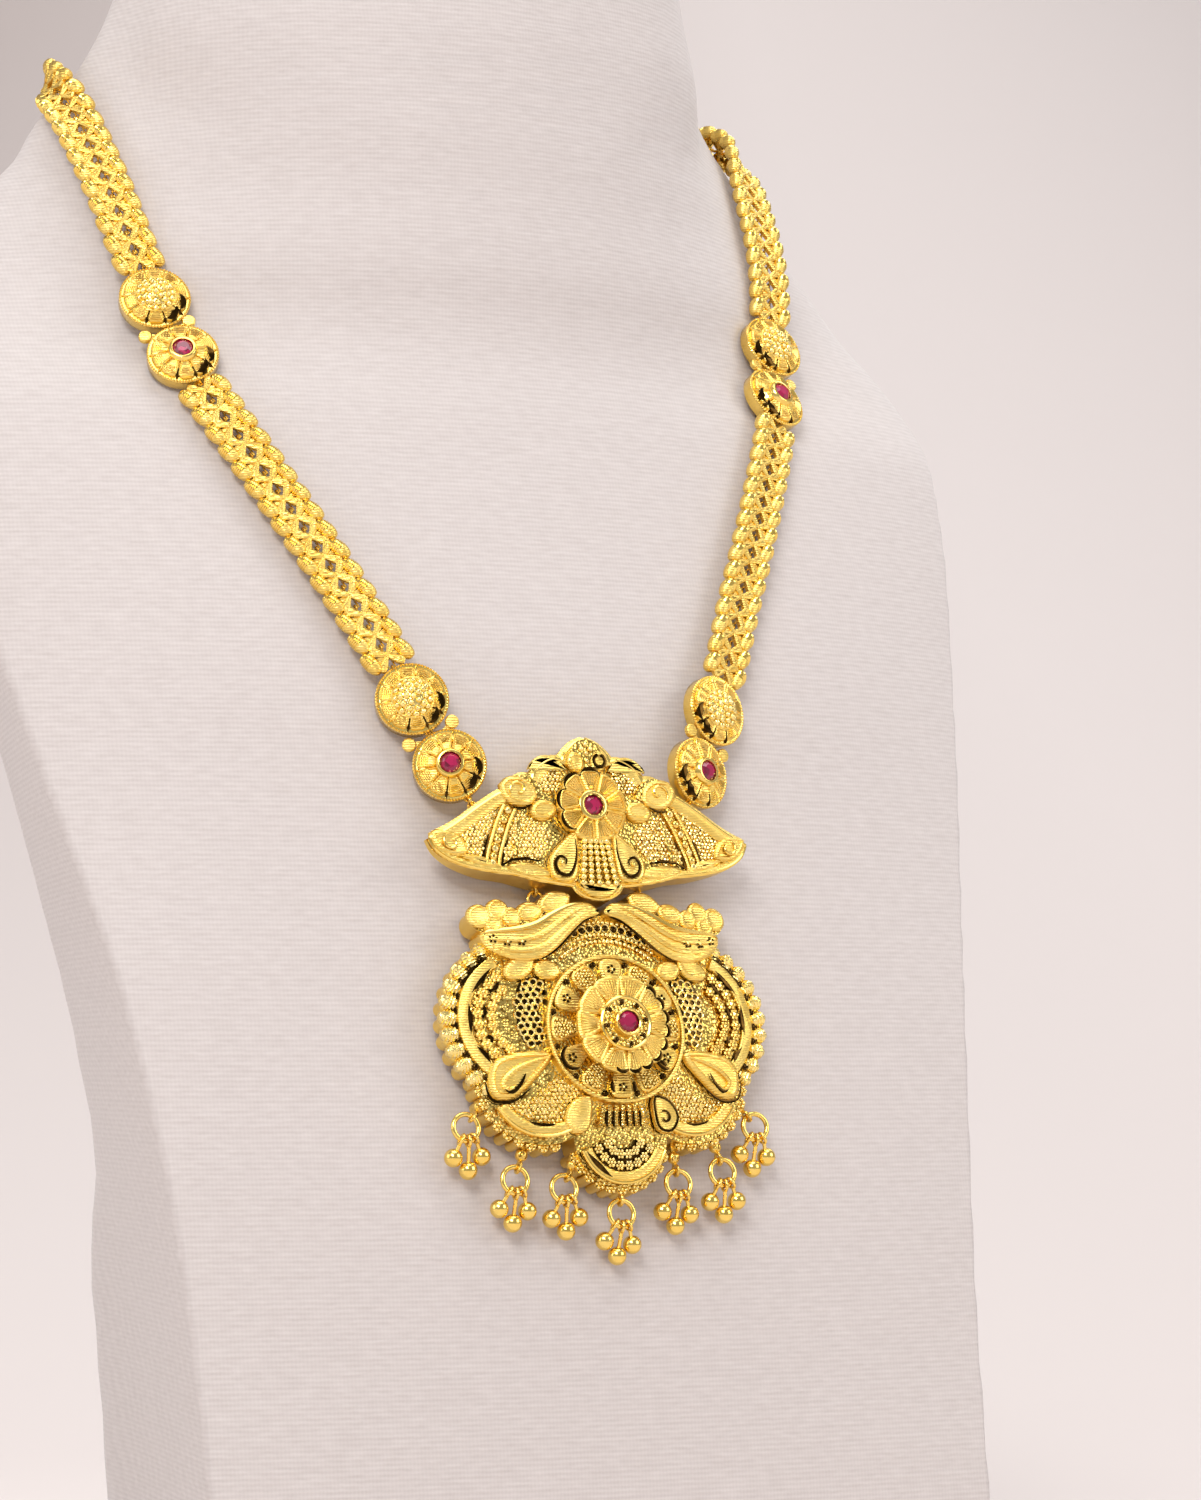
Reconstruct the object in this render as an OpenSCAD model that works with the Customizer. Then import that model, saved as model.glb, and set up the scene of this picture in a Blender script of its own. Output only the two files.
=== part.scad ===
// Long necklace on a neck bust: a fluted link band with round plaques,
// a winged upper plaque, a domed pendant and seven ball drops.
// X runs across, the front faces -Y, Z is up, and the base stands on Z = 0.

/* [Bust] */
// Height of the bust
bust_h = 358; // [340:1:380]
// Half width of the neck
neck_half_w = 62; // [58:1:63]
// Depth of the neck in front of its middle
neck_front = 48.5; // [46:0.5:49]
// Width of the blend between the neck and the shoulders
neck_blend = 26; // [16:1:30]

/* [Band] */
// Target length of one link of the band
link_pitch = 4.48; // [4.3:0.01:4.7]
// Number of links between the lower and the upper pair of round plaques
lower_links = 15; // [14:1:16]
// Width of one petal bar in a link
petal_w = 1.7; // [1.4:0.1:1.9]
// Thickness of the petal bars
petal_t = 0.9; // [0.7:0.1:1.1]
// Distance from the middle of the band to the middle of an edge bead
bead_x = 3.45; // [3.3:0.05:3.5]
// Diameter of an edge bead
bead_d = 2.5; // [2.2:0.1:2.6]

/* [Round plaques] */
// Diameter of a round plaque
disc_d = 13.6; // [13:0.1:13.8]
// Thickness of its rim
disc_rim_t = 2.4; // [2:0.1:2.6]
// Number of petals on a round plaque
disc_petals = 10; // [8:1:12]
// Diameter of a stone
stone_d = 3.8; // [3.2:0.1:4.2]

/* [Pendant] */
// Lean of the two hanging pieces, from upright
lean = 13.2; // [12:0.1:14]
// Height of the dome in the middle of the pendant
dome_h = 4.1; // [3.6:0.1:4.4]
// Height of the flower's petal edge over the pendant's border
flower_edge_h = 8.2; // [7.6:0.1:8.4]
// Number of petals of the pendant's flower
flower_petals = 10; // [8:1:12]
// Wall thickness of the hollow pieces
wall = 1; // [0.8:0.1:1.4]

/* [Drops] */
// Diameter of a drop ball
ball_d = 3.4; // [3:0.1:3.4]
// Outer diameter of a jump ring
ring_d = 5.8; // [5.7:0.1:5.9]
// Wire thickness of a jump ring
ring_wire = 0.95; // [0.7:0.05:0.95]

/* [Hidden] */

// Place of the hanging pieces' plane: its middle, level with the pendant's border
plane_y = -60.2;
plane_z = 130;

// Smoothness of round parts, from the large domes down to grains and wires
domed = 256;
wide = 96;
even = 64;
fine = 32;
plain = 20;
small = 16;

// Bust sections, from the base up: height, half width, front, side edge, back,
// roundness of the front, squareness of the back, inward taper of the sides
bust_rows = [
    [0, 76, -76, -72, 50, 1.12, 7, 0.30],
    [35, 77, -72.6, -68, 54, 1.12, 7, 0.30],
    [68, 78.5, -68.2, -61, 58, 1.12, 7, 0.30],
    [97, 81, -63.4, -54.5, 61, 1.12, 7, 0.28],
    [130, 86, -56.1, -44, 64, 1.12, 7, 0.25],
    [148, 90, -52, -36, 65, 1.12, 7, 0.23],
    [173, 96, -45.6, -24.5, 66, 1.15, 6, 0.20],
    [193, 100.5, -41.1, -15, 67, 1.15, 6, 0.18],
    [219, 106, -30.6, -3, 68, 1.15, 5, 0.14],
    [233, 108, -23.8, 4, 68, 1.2, 5, 0.12],
    [244, 109, -17.5, 10, 68, 1.25, 4.5, 0.10],
    [254, 108, -9.5, 19, 68, 1.3, 4.5, 0.09],
    [263, 105.5, -6, 27, 68, 1.35, 4, 0.08],
    [270, 101.5, -6, 33, 68, 1.4, 4, 0.07],
    [278, 97, -3, 37, 68, 1.5, 3.5, 0.05],
    [287, 90, 3, 39, 67, 1.6, 3, 0.03],
    [296, 80, 8, 40, 66, 1.8, 2.6, 0.02],
    [304, 75.2, 16, 39, 64, 2, 2.3, 0],
    [314, 63, 22, 38, 58, 2, 2.2, 0],
    [330, 48, 25, 36, 48, 2, 2.2, 0],
    [bust_h, 40, 25, 36, 45, 2, 2.2, 0]];
neck_y = 32;
neck_back = 34;
// The neck grows slimmer over this stretch, to this share of its size
neck_slims_z = [316, 342];
neck_top_share = 0.915;
front_steps = 20;
back_steps = 16;
rows_per_step = 2;

// Hinge line of the band on the right side, from the lower plaque round to the nape:
// x, y, z and the heading of its face before it is squared to the line
band_rows = [
    [22.2, -50.5, 166.4, 14], [25.2, -48.4, 172.4, 14], [30.6, -44.0, 184.2, 14], [34.6, -41.0, 192.9, 9],
    [40.6, -34.8, 205.7, 7], [46.9, -28.6, 218.1, 7], [53.6, -21.2, 231.2, 7],
    [59.9, -13.4, 243.6, 7], [62.8, -7.8, 250.4, 7], [65.6, -1.4, 261.9, 7],
    [67.2, 2.4, 268.9, 7], [69.2, 6.4, 277.1, 7], [70.8, 12.0, 286.3, 8],
    [72.1, 18.6, 294.8, 10], [73.3, 25.2, 302.6, 18], [73.9, 31.6, 308.3, 42],
    [72.6, 41.0, 312.4, 72], [67.2, 50.8, 313.2, 104], [58.9, 58.4, 312.3, 128],
    [47.5, 64.6, 311.2, 146], [34.0, 69.0, 310.6, 160], [18.0, 71.6, 310.2, 171],
    [0, 72.6, 310, 180]];
disc_row = 8;
disc_gap = 0.5;
disc_span = disc_d + disc_gap;
samples_per_row = 8;

// Hinge of the band: an eye at one end of each piece holds the next piece's pin
eye_r = 0.55;
eye_wire = 0.2;
pin_r = 0.2;
arm_x = 0.6;
arm_w = 0.3;
arm_end = 0.8;
plate_z = 0.65;
// Stems of an eye: how far behind it they start, their length and height
stem_low = -0.15;
link_stem = [1.75, 1.25, 1.05];
disc_stem = [2.6, 2.1, 0.35];
// Posts that carry the stems and arms: length and height
link_post = [0.6, 1];
disc_post = [0.6, 1.2];
disc_arm = 2.7;
// Free room between two links, half length of a petal bar across, and the bar under the petals
link_gap = 0.3;
petal_reach = bead_x - 1;
bar_w = 0.9;
bar_t = 0.5;
bead_turn = 9;

// Clasp at the nape
clasp_len = 9;
clasp_d = 4;

// Places on the hanging pieces' plane: across, up
flower_at = [0, -6.5];
flower_r = 8.9;
disc_ring_r = 13.8;
filigree_r = 4.85;
side_at = [16.5, -4.3];
side_r = 14.2;
lobe_at = [14.5, -15.5];
lobe_r = 11.6;
fan_at = [0, -25.6];
fan_r = 9.3;
crown_at = [0, -4];
crown_r = 19.2;
back_n = -3.4;
coil_beads = 10;
rosette_d = 2.15;

plaque_flower_at = [0, 35.5];
plaque_back_n = -2.9;
plaque_mid_h = 3;
plaque_tip_h = 1.4;
plaque_half_w = 32.5;
// The wall grows shallow toward the tips: from this far out, at this slope
tip_from = 21;
tip_rise = 16;

hinge_at = [10.5, 19.1];
hinge_n = -1.6;
hinge_ring_r = 1.5;
hinge_eye_r = 0.8;
hinge_wire = 0.28;
// Rings between the upper plaque and the band: radius, wire, and the plaque's tab with its hole
hanger_ring_r = 1;
hanger_wire = 0.25;
hanger_drop = hanger_ring_r - hanger_wire - 0.35;
tab_r = 0.75;

// Jump rings of the drops from left to right: across, up, turn and length of the shank above each,
// swing of its balls
drop_rows = [[-28.9, -23.4, -38, 4.2, 4], [-20.3, -33.0, -20, 4.2, -3], [-10.9, -34.6, -25, 3.5, 4],
    [0, -39.3, 0, 1.4, -6], [12.0, -34.0, 5, 4.6, -4], [21.2, -32.0, 12, 4.1, 3], [28.9, -23.6, 38, 4.2, -4]];
drop_n = -0.6;
// Balls of one drop: turn on the jump ring, across, up and outward from its middle
ball_rows = [[-32, -2.75, -5.0, -1.3], [0, -0.1, -7.4, -1.7], [32, 2.65, -5.2, -1.2]];
loop_r = 1;
loop_wire = 0.3;
stem_r = 0.36;
// The eye above a jump ring, the shank that carries it and the nugget on a long shank
drop_eye_r = 0.98;
drop_eye_wire = 0.32;
shank_w = 0.7;
nugget_r = 1.15;
nugget_up = 2.3;

// Outlines, right half, as runs of points that join at corners: across, up
plaque_runs = [
    [[0, 48.9], [2.3, 47.9], [4.2, 46.0], [4.9, 44.6]],
    [[4.9, 44.6], [6.9, 44.9], [9.2, 43.8], [10.8, 42.2], [11.3, 40.9]],
    [[11.3, 40.9], [13.5, 41.2], [15.4, 40.2], [16.5, 38.4]],
    [[16.5, 38.4], [18.5, 37.7], [22.7, 35.1], [26.5, 32.4], [29.5, 30.6], [32.5, 29.2]],
    [[32.5, 29.2], [31.3, 27.0], [28.8, 25.2], [25.5, 24.0], [21, 23.1], [16.3, 22.5], [12, 21.4],
        [4.8, 20.3]],
    [[4.8, 20.3], [4.0, 19.0], [2.2, 18.0], [0, 17.7]]];
wing_run = [[0.6, 15.6], [2.5, 17.2], [6, 17.2], [9.8, 15.8], [13.3, 13.9], [17, 12.9], [21, 12.5],
    [23.3, 12], [23.8, 10.5], [22.5, 8.6], [19.8, 7.1], [16.6, 6.4], [13.2, 6.8], [10.2, 8.6],
    [7.2, 11.3], [4, 14.0], [1.5, 15.0]];
swirl_run = [[13.3, -11.3], [18.5, -10.8], [23.3, -12], [24.8, -15], [24, -18.3], [20.8, -18.6], [17.3, -16]];
paisley_run = [[3.2, 30.2], [6.2, 27.6], [8.4, 24.4], [7.6, 21.8], [5, 21.2], [2.9, 22.9], [2.5, 26.4]];
small_paisley_run = [[6.6, -19.2], [9.4, -20.0], [10.9, -22.6], [9.6, -24.9], [7.4, -24.6], [6.6, -22.4]];
lower_petal_run = [[8.6, 22.2], [10.5, 24.3], [18.5, 23.6], [14, 22.7]];

function unit(v) = v / norm(v);
function ease(t) = let (u = min(1, max(0, t))) u * u * (3 - 2 * u);
// The place in a row that holds a heading too
function place(v) = [v[0], v[1], v[2]];

// A point of the smooth curve through the rows, at row number t
function smooth_at(rows, t) =
    let (n = len(rows), i = min(floor(t), n - 2), f = t - i,
         a = rows[max(i - 1, 0)], b = rows[i], c = rows[i + 1], d = rows[min(i + 2, n - 1)])
    0.5 * (2 * b + (c - a) * f + (2 * a - 5 * b + 4 * c - d) * f * f + (3 * b - a - 3 * c + d) * f * f * f);
// An open curve through a run of points, without its last point
function smooth_run(run, k) = [for (i = [0:k * (len(run) - 1) - 1]) smooth_at(run, i / k)];
// A closed curve through a run of points
function closed_run(run, k) = let (n = len(run), w = [for (i = [-1:n + 1]) run[(i + n) % n]])
    [for (i = [k:k * (n + 1) - 1]) smooth_at(w, i / k)];
function all_runs(runs, k) = [for (r = runs) each smooth_run(r, k)];
function both_sides(pts) = concat(pts, [for (i = [len(pts) - 1:-1:1]) [-pts[i][0], pts[i][1]]]);

// The bust
function bust_ring(r) =
    let (w = r[1], front = r[2], edge = r[3], back = r[4], k = r[5], q = r[6], taper = r[7])
    concat(
        [for (i = [0:front_steps - 1]) let (x = -w * cos(180 * i / front_steps))
            [x, edge - (edge - front) * pow(max(0, 1 - x * x / (w * w)), 1 / k)]],
        [for (i = [0:back_steps - 1]) let (a = 180 * i / back_steps, c = cos(a), s = pow(sin(a), 2 / q))
            [w * sign(c) * pow(abs(c), 2 / q) * (1 - taper * s), edge + (back - edge) * s]]);
function with_neck(p, z) =
    let (d = p - [0, neck_y], r = norm(d), u = d / r,
         deep = u[1] < 0 ? neck_front : max(1, neck_back * ease((z - 250) / 50)),
         slim = 1 - (1 - neck_top_share) * ease((z - neck_slims_z[0]) / (neck_slims_z[1] - neck_slims_z[0])),
         rn = slim / sqrt(pow(u[0] / neck_half_w, 2) + pow(u[1] / deep, 2)),
         h = max(neck_blend - abs(r - rn), 0) / neck_blend,
         q = [0, neck_y] + u * (max(r, rn) + h * h * neck_blend / 4))
    [q[0], q[1], z];

module neck_bust() {
    n = front_steps + back_steps;
    steps = rows_per_step * (len(bust_rows) - 1);
    rings = [for (i = [0:steps]) let (r = smooth_at(bust_rows, i / rows_per_step))
        [for (p = bust_ring(r)) with_neck(p, r[0])]];
    sides = [for (i = [0:steps - 1]) for (j = [0:n - 1])
        let (a = i * n + j, b = i * n + (j + 1) % n) each [[a, a + n, b + n], [a, b + n, b]]];
    base = [for (j = [0:n - 1]) j];
    top = [for (j = [n - 1:-1:0]) steps * n + j];
    color("linen") polyhedron([for (r = rings) each r], concat(sides, [base, top]), convexity = 4);
}

// The band's hinge line
band_samples = samples_per_row * (len(band_rows) - 1);
band_points = [for (i = [0:band_samples]) smooth_at(band_rows, i / samples_per_row)];
band_lengths = [for (i = 0, s = 0; i < len(band_points);
    s = i + 1 < len(band_points) ? s + norm(place(band_points[i + 1]) - place(band_points[i])) : s, i = i + 1)
    s];
band_table = [for (i = [0:len(band_points) - 1]) [band_lengths[i], i / samples_per_row]];
band_end = band_lengths[len(band_lengths) - 1];
function band_at(s) = smooth_at(band_rows, lookup(s, band_table));
function band_matrix(s0, s1) =
    let (a = band_at(s0), b = band_at(s1), t = unit(place(b - a)), o = place(a + b) / 2,
         turn = (a[3] + b[3]) / 2, f = [sin(turn), -cos(turn), 0],
         n = unit(f - (f * t) * t), x = cross(t, n))
    [[x[0], t[0], n[0], o[0]], [x[1], t[1], n[1], o[1]], [x[2], t[2], n[2], o[2]], [0, 0, 0, 1]];

low_start = 2 * disc_span;
low_end = band_lengths[samples_per_row * disc_row] - disc_span / 2;
low_pitch = (low_end - low_start) / lower_links;
high_start = low_end + 2 * disc_span;
high_end = band_end - clasp_len / 2;
high_links = round((high_end - high_start) / link_pitch);
high_pitch = (high_end - high_start) / high_links;

module side(s) { if (s > 0) children(); else mirror([1, 0, 0]) children(); }
module on_band(s0, s1) { multmatrix(band_matrix(s0, s1)) children(); }
module on_plane() { translate([0, plane_y, plane_z]) rotate([90 - lean, 0, 0]) children(); }
module both() { children(); mirror([1, 0, 0]) children(); }
module both_ends() { children(); rotate(180) children(); }
module ring(r, wire) { rotate_extrude($fn = plain) translate([r, 0]) circle(wire, $fn = small); }
module lens(l, w) {
    r = (l * l + w * w) / (4 * w);
    intersection() {
        translate([0, r - w / 2]) circle(r, $fn = wide);
        translate([0, w / 2 - r]) circle(r, $fn = wide);
    }
}
// A barrel: its ends and its belly as shares of its width and length
barrel_end = 0.36;
barrel_belly = 0.34;
module barrel(l, d) {
    rotate_extrude($fn = small) polygon([[0, -l / 2], [barrel_end * d / 2, -l / 2],
        [d / 2, -barrel_belly * l / 2], [d / 2, barrel_belly * l / 2], [barrel_end * d / 2, l / 2], [0, l / 2]]);
}

module eye(half) {
    translate([0, half, 0]) rotate([0, 90, 0]) ring(eye_r, eye_wire);
    translate([-eye_wire, half - link_stem[0], stem_low]) cube([2 * eye_wire, link_stem[1], link_stem[2]]);
}
module pin(half) {
    translate([0, -half, 0]) rotate([0, 90, 0])
        cylinder(r = pin_r, h = 2 * arm_x, center = true, $fn = small);
    both() {
        translate([arm_x - arm_w / 2, -half - pin_r, -pin_r]) cube([arm_w, half - arm_end + pin_r, 2 * pin_r]);
        translate([arm_x - arm_w / 2, 0.1 - arm_end - link_post[0], -pin_r]) cube([arm_w, link_post[0], link_post[1]]);
    }
}

module link(pitch) {
    bar = norm([pitch - link_gap, 2 * petal_reach]);
    tilt = atan2(pitch - link_gap, 2 * petal_reach);
    both() translate([0, 0, plate_z]) rotate(tilt) linear_extrude(petal_t) lens(bar, petal_w);
    translate([-bead_x, -bar_w / 2, plate_z]) cube([2 * bead_x, bar_w, bar_t]);
    both() translate([bead_x, 0, plate_z + bar_t]) rotate([-90, 0, -bead_turn]) barrel(pitch - link_gap, bead_d);
    eye(pitch / 2);
    pin(pitch / 2);
}
module band_links(s0, pitch, count) {
    for (i = [0:count - 1]) on_band(s0 + i * pitch, s0 + (i + 1) * pitch) link(pitch);
}
module low_band(s) { color("goldenrod") side(s) band_links(low_start, low_pitch, lower_links); }
module high_band(s) { color("goldenrod") side(s) band_links(high_start, high_pitch, high_links); }

// A cut stone: a table, a facetted crown and a point, with its girdle at Z = 0
seat_lip = 0.35;
module gem(d) {
    cylinder(d1 = d, d2 = d * 0.62, h = d * 0.17, $fn = 12);
    translate([0, 0, -d * 0.06]) cylinder(d = d, h = d * 0.06, $fn = 12);
    translate([0, 0, -d * 0.34]) cylinder(d1 = d * 0.12, d2 = d, h = d * 0.28, $fn = 12);
}
// The seat that holds a stone: a collar from a height up to its girdle, and the bore in it
module collar(d, from, girdle) {
    translate([0, 0, from]) cylinder(d = d + 1.1, h = girdle + seat_lip - from, $fn = fine);
}
module seat_bore(d, girdle) {
    translate([0, 0, girdle - d * 0.4]) cylinder(d = d + 0.04, h = d, $fn = fine);
}

// Round plaque, on the band's hinge line
disc_low = -0.7;
disc_dome = 2.5;
disc_girdle = 3.4;
petal_relief = 0.35;
notch_top = 1.12;
rim_lip = 0.4;
module disc_cap(up) {
    h = disc_dome - (disc_low + disc_rim_t);
    r = (pow(disc_d / 2 - 0.8, 2) + h * h) / (2 * h);
    translate([0, 0, disc_dome + up - r]) sphere(r, $fn = wide);
}
module disc_body() {
    difference() {
        union() {
            translate([0, 0, disc_low]) cylinder(d = disc_d, h = disc_rim_t - rim_lip, $fn = even);
            translate([0, 0, disc_low]) difference() {
                cylinder(d = disc_d, h = disc_rim_t, $fn = even);
                translate([0, 0, disc_rim_t - rim_lip]) cylinder(d = disc_d - 1.5, h = 1, $fn = even);
            }
            intersection() {
                cylinder(d = disc_d - 1, h = disc_dome + 1, $fn = even);
                disc_cap(0);
            }
            intersection() {
                linear_extrude(disc_dome + 1) for (i = [1:disc_petals])
                    rotate(360 * i / disc_petals) translate([4.3, 0]) lens(3.9, 2.3);
                disc_cap(petal_relief);
            }
        }
        translate([0, 0, disc_low - 1])
            cylinder(d = disc_d - 2 * wall, h = 1 + plate_z - disc_low, $fn = even);
        both_ends() translate([-1.2, disc_d / 2 - 1.6, disc_low - 1])
            cube([2.4, 2, 1 + notch_top - disc_low]);
    }
    disc_eye();
    disc_pin();
}
module disc_eye() {
    half = disc_span / 2;
    translate([0, half, 0]) rotate([0, 90, 0]) ring(eye_r, eye_wire);
    for (s = [[disc_stem[1], disc_stem[2]], disc_post])
        translate([-eye_wire, half - disc_stem[0], stem_low]) cube([2 * eye_wire, s[0], s[1]]);
}
module disc_pin() {
    half = disc_span / 2;
    translate([0, -half, 0]) rotate([0, 90, 0])
        cylinder(r = pin_r, h = 2 * arm_x, center = true, $fn = small);
    both() {
        translate([arm_x - arm_w / 2, -half - pin_r, -pin_r]) cube([arm_w, disc_arm, 2 * pin_r]);
        translate([arm_x - arm_w / 2, disc_arm - pin_r - disc_post[0] - half, -pin_r])
            cube([arm_w, disc_post[0], disc_post[1]]);
    }
}
lug_d = 2.1;
module lugs() {
    both() {
        translate([4.75, disc_d / 2 + 0.25, 0.4]) cylinder(d = lug_d, h = 0.9, $fn = plain);
        translate([4.75, disc_d / 2 + 0.25, 0.4]) rotate(-125) translate([0, -0.45]) cube([3.2, 0.9, 0.6]);
    }
}
module ruby_disc() {
    difference() {
        union() {
            disc_body();
            collar(stone_d, plate_z, disc_girdle);
        }
        seat_bore(stone_d, disc_girdle);
    }
    lugs();
}
grain_dome_r = 3.3;
module grain_disc() {
    disc_body();
    intersection() {
        cylinder(r = grain_dome_r, h = 6, $fn = fine);
        translate([0, 0, -1.1]) sphere(5.1, $fn = even);
    }
    for (k = [[0, 1, 3.95], [1.45, 6, 3.7], [2.75, 12, 2.95]]) for (i = [1:k[1]])
        rotate(360 * i / k[1]) translate([k[0], 0, k[2]]) sphere(0.62, $fn = small);
}
module disc_at(s, s0) { side(s) on_band(s0, s0 + disc_span) children(); }
module low_ruby_disc(s) { color("gold") disc_at(s, 0) ruby_disc(); }
module low_grain_disc(s) { color("gold") disc_at(s, disc_span) grain_disc(); }
module high_ruby_disc(s) { color("gold") disc_at(s, low_end) ruby_disc(); }
module high_grain_disc(s) { color("gold") disc_at(s, low_end + disc_span) grain_disc(); }
module gem_on_disc() { translate([0, 0, disc_girdle]) gem(stone_d - 0.1); }

module low_ruby(s) { color("crimson") disc_at(s, 0) gem_on_disc(); }
module high_ruby(s) { color("crimson") disc_at(s, low_end) gem_on_disc(); }

// The hanging pieces rise to a dome; relief follows it, a little higher
module plaque_dome(up) {
    drop = plaque_mid_h - plaque_tip_h;
    r = (plaque_half_w * plaque_half_w + drop * drop) / (2 * drop);
    translate([0, 0, plaque_mid_h + up - r]) rotate([-90, 0, 0]) cylinder(r = r, h = 60, $fn = domed);
}
module plaque_relief(up) {
    intersection() {
        linear_extrude(plaque_mid_h + up + 1) children();
        plaque_dome(up);
    }
}
module plaque_outline(k) { polygon(both_sides(all_runs(plaque_runs, k))); }
module shrunk(k, at) { translate(at) scale(k) translate(-at) children(); }
module sprig(at, turn, l, w) { translate(at) rotate(turn) lens(l, w); }

plaque_mid = [0, 31];
// The raised border's two edges, as shares of the outline
border_out = 0.985;
border_in = 0.93;
plaque_girdle = plaque_mid_h + 1.7;
module plaque_wall() {
    difference() {
        intersection() {
            translate([0, 0, plaque_back_n]) linear_extrude(8) plaque_outline(3);
            plaque_dome(0);
        }
        translate([0, 0, plaque_back_n - 1]) linear_extrude(plaque_tip_h - 0.9 - plaque_back_n + 1)
            shrunk(0.91, plaque_mid) plaque_outline(2);
        both() translate([tip_from, 20, plaque_back_n]) rotate([0, -tip_rise, 0]) translate([0, 0, -6])
            cube([16, 20, 6]);
    }
}
module upper_plaque() {
    color("gold") on_plane() {
        difference() {
            union() {
                plaque_wall();
                plaque_relief(0.5) both() {
                    for (x = [15.2, 19.2]) translate([x, 29]) rotate(12) square([0.7, 8.6], center = true);
                    polygon(closed_run(lower_petal_run, 3));
                    difference() {
                        shrunk(border_out, plaque_mid) plaque_outline(3);
                        shrunk(border_in, plaque_mid) plaque_outline(2);
                    }
                }
                plaque_relief(0.9) {
                    both() {
                        sprig([12.6, 39.0], 28, 7.2, 3.8);
                        sprig([8.6, 35.6], 2, 5.6, 3);
                        polygon(closed_run(paisley_run, 3));
                    }
                    translate([0, 45.2]) circle(3.2, $fn = fine);
                    translate([0, 22.6]) difference() {
                        circle(4.4, $fn = fine);
                        translate([0, 1.2]) circle(4.3, $fn = fine);
                    }
                }
                plaque_relief(1.4) translate(plaque_flower_at) {
                    circle(3, $fn = fine);
                    for (i = [1:9]) rotate(40 * i + 10) translate([4.0, 0]) circle(1.9, $fn = plain);
                }
                translate(plaque_flower_at) collar(stone_d, 1, plaque_girdle);
            }
            translate(plaque_flower_at) seat_bore(stone_d, plaque_girdle);
        }
        both() plane_eye([hinge_at[0], hinge_at[1] + hinge_ring_r], -1);
    }
    color("gold") both() hanger_tab();
}
// The tab on the plaque's top edge that a hanger ring passes through
module hanger_tab() {
    on_band(-hanger_step, hanger_step) translate([0, -hanger_drop - hanger_ring_r, 0]) {
        ring(tab_r, hanger_wire);
        translate([-0.7, -2.2, -hanger_wire]) cube([1.4, 1.5, 2 * hanger_wire]);
    }
}
// An eye across the plane for a ring to pass through, with its shank: turn 0 for the top edge
module plane_eye(at, turn) {
    translate([at[0], at[1], hinge_n]) rotate([0, 90, 0]) ring(hinge_eye_r, hinge_wire);
    translate([at[0] - 0.35, at[1] + (turn == 0 ? -3 : hinge_eye_r - 0.1), hinge_n - 0.35])
        cube([0.7, 3.1 - hinge_eye_r, 0.7]);
}
module plaque_ruby() {
    color("crimson") on_plane() translate(concat(plaque_flower_at, plaque_girdle)) gem(stone_d - 0.1);
}

// Pendant
module pendant_dome(up) {
    r = (32 * 32 + dome_h * dome_h) / (2 * dome_h);
    translate([flower_at[0], flower_at[1], dome_h + up - r]) sphere(r, $fn = domed);
}
module pendant_relief(up) {
    intersection() {
        translate([0, 0, -1]) linear_extrude(dome_h + up + 2) children();
        pendant_dome(up);
    }
}
module wing2d() { both() polygon(closed_run(wing_run, 2)); }
module wings_and_leaves2d() {
    wing2d();
    both() {
        sprig([9.4, 17.4], -22, 7.6, 3.6);
        sprig([14.4, 14.9], -15, 6.4, 3.2);
        translate([20.6, 15.2]) circle(2.1, $fn = plain);
        translate([23, 14.2]) circle(2.4, $fn = plain);
        translate([18.4, 13.8]) circle(2.2, $fn = plain);
    }
}
module pendant_outline() {
    both() {
        translate(side_at) circle(side_r, $fn = even);
        translate(lobe_at) circle(lobe_r, $fn = even);
    }
    translate(fan_at) circle(fan_r, $fn = even);
    translate(crown_at) circle(crown_r, $fn = even);
    wings_and_leaves2d();
}
net_pitch = 1.75;
hole_d = 1.15;
module gaps2d() {
    both() for (i = [0:3]) for (j = [0:6])
        translate([12.9 + i * net_pitch * 0.86, -8.3 + (j + i % 2 / 2) * net_pitch])
            circle(d = hole_d, $fn = small);
    for (i = [-5:5]) translate([1.55 * i, 12.1 - 0.09 * i * i]) circle(d = hole_d, $fn = small);
    for (i = [-4:4]) translate([1.55 * i + 0.7, 10.4 - 0.09 * i * i]) circle(d = hole_d - 0.15, $fn = small);
}
module along_side() {
    for (i = [0:coil_beads - 1]) let (a = 60 - 12 * i)
        translate([side_at[0] + (side_r + 0.2) * cos(a), side_at[1] + (side_r + 0.2) * sin(a), 0])
            rotate(a) children();
}
module coil_beads() {
    both() along_side() {
        translate([0, 0, back_n]) cylinder(r = 1.42, h = -0.5 - back_n, $fn = plain);
        translate([0, 0, -0.5]) sphere(1.55, $fn = plain);
    }
}
module rosette() {
    translate([0, 0, back_n]) cylinder(d = rosette_d, h = 0.6 - back_n, $fn = small);
    translate([0, 0, 0.6]) sphere(0.55, $fn = small);
}
module rosettes() {
    both() for (i = [0:8]) let (a = -8 - 11.5 * i)
        translate([lobe_at[0] + (lobe_r + 0.2) * cos(a), lobe_at[1] + (lobe_r + 0.2) * sin(a), 0]) rosette();
    for (i = [0:10]) let (a = -157 + 13.4 * i)
        translate([fan_at[0] + (fan_r + 0.2) * cos(a), fan_at[1] + (fan_r + 0.2) * sin(a), 0]) rosette();
}
module bow(r1, r2, a1, a2) {
    polygon(concat([for (i = [0:12]) r1 * [cos(a1 + (a2 - a1) * i / 12), sin(a1 + (a2 - a1) * i / 12)]],
                   [for (i = [12:-1:0]) r2 * [cos(a1 + (a2 - a1) * i / 12), sin(a1 + (a2 - a1) * i / 12)]]));
}
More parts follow.
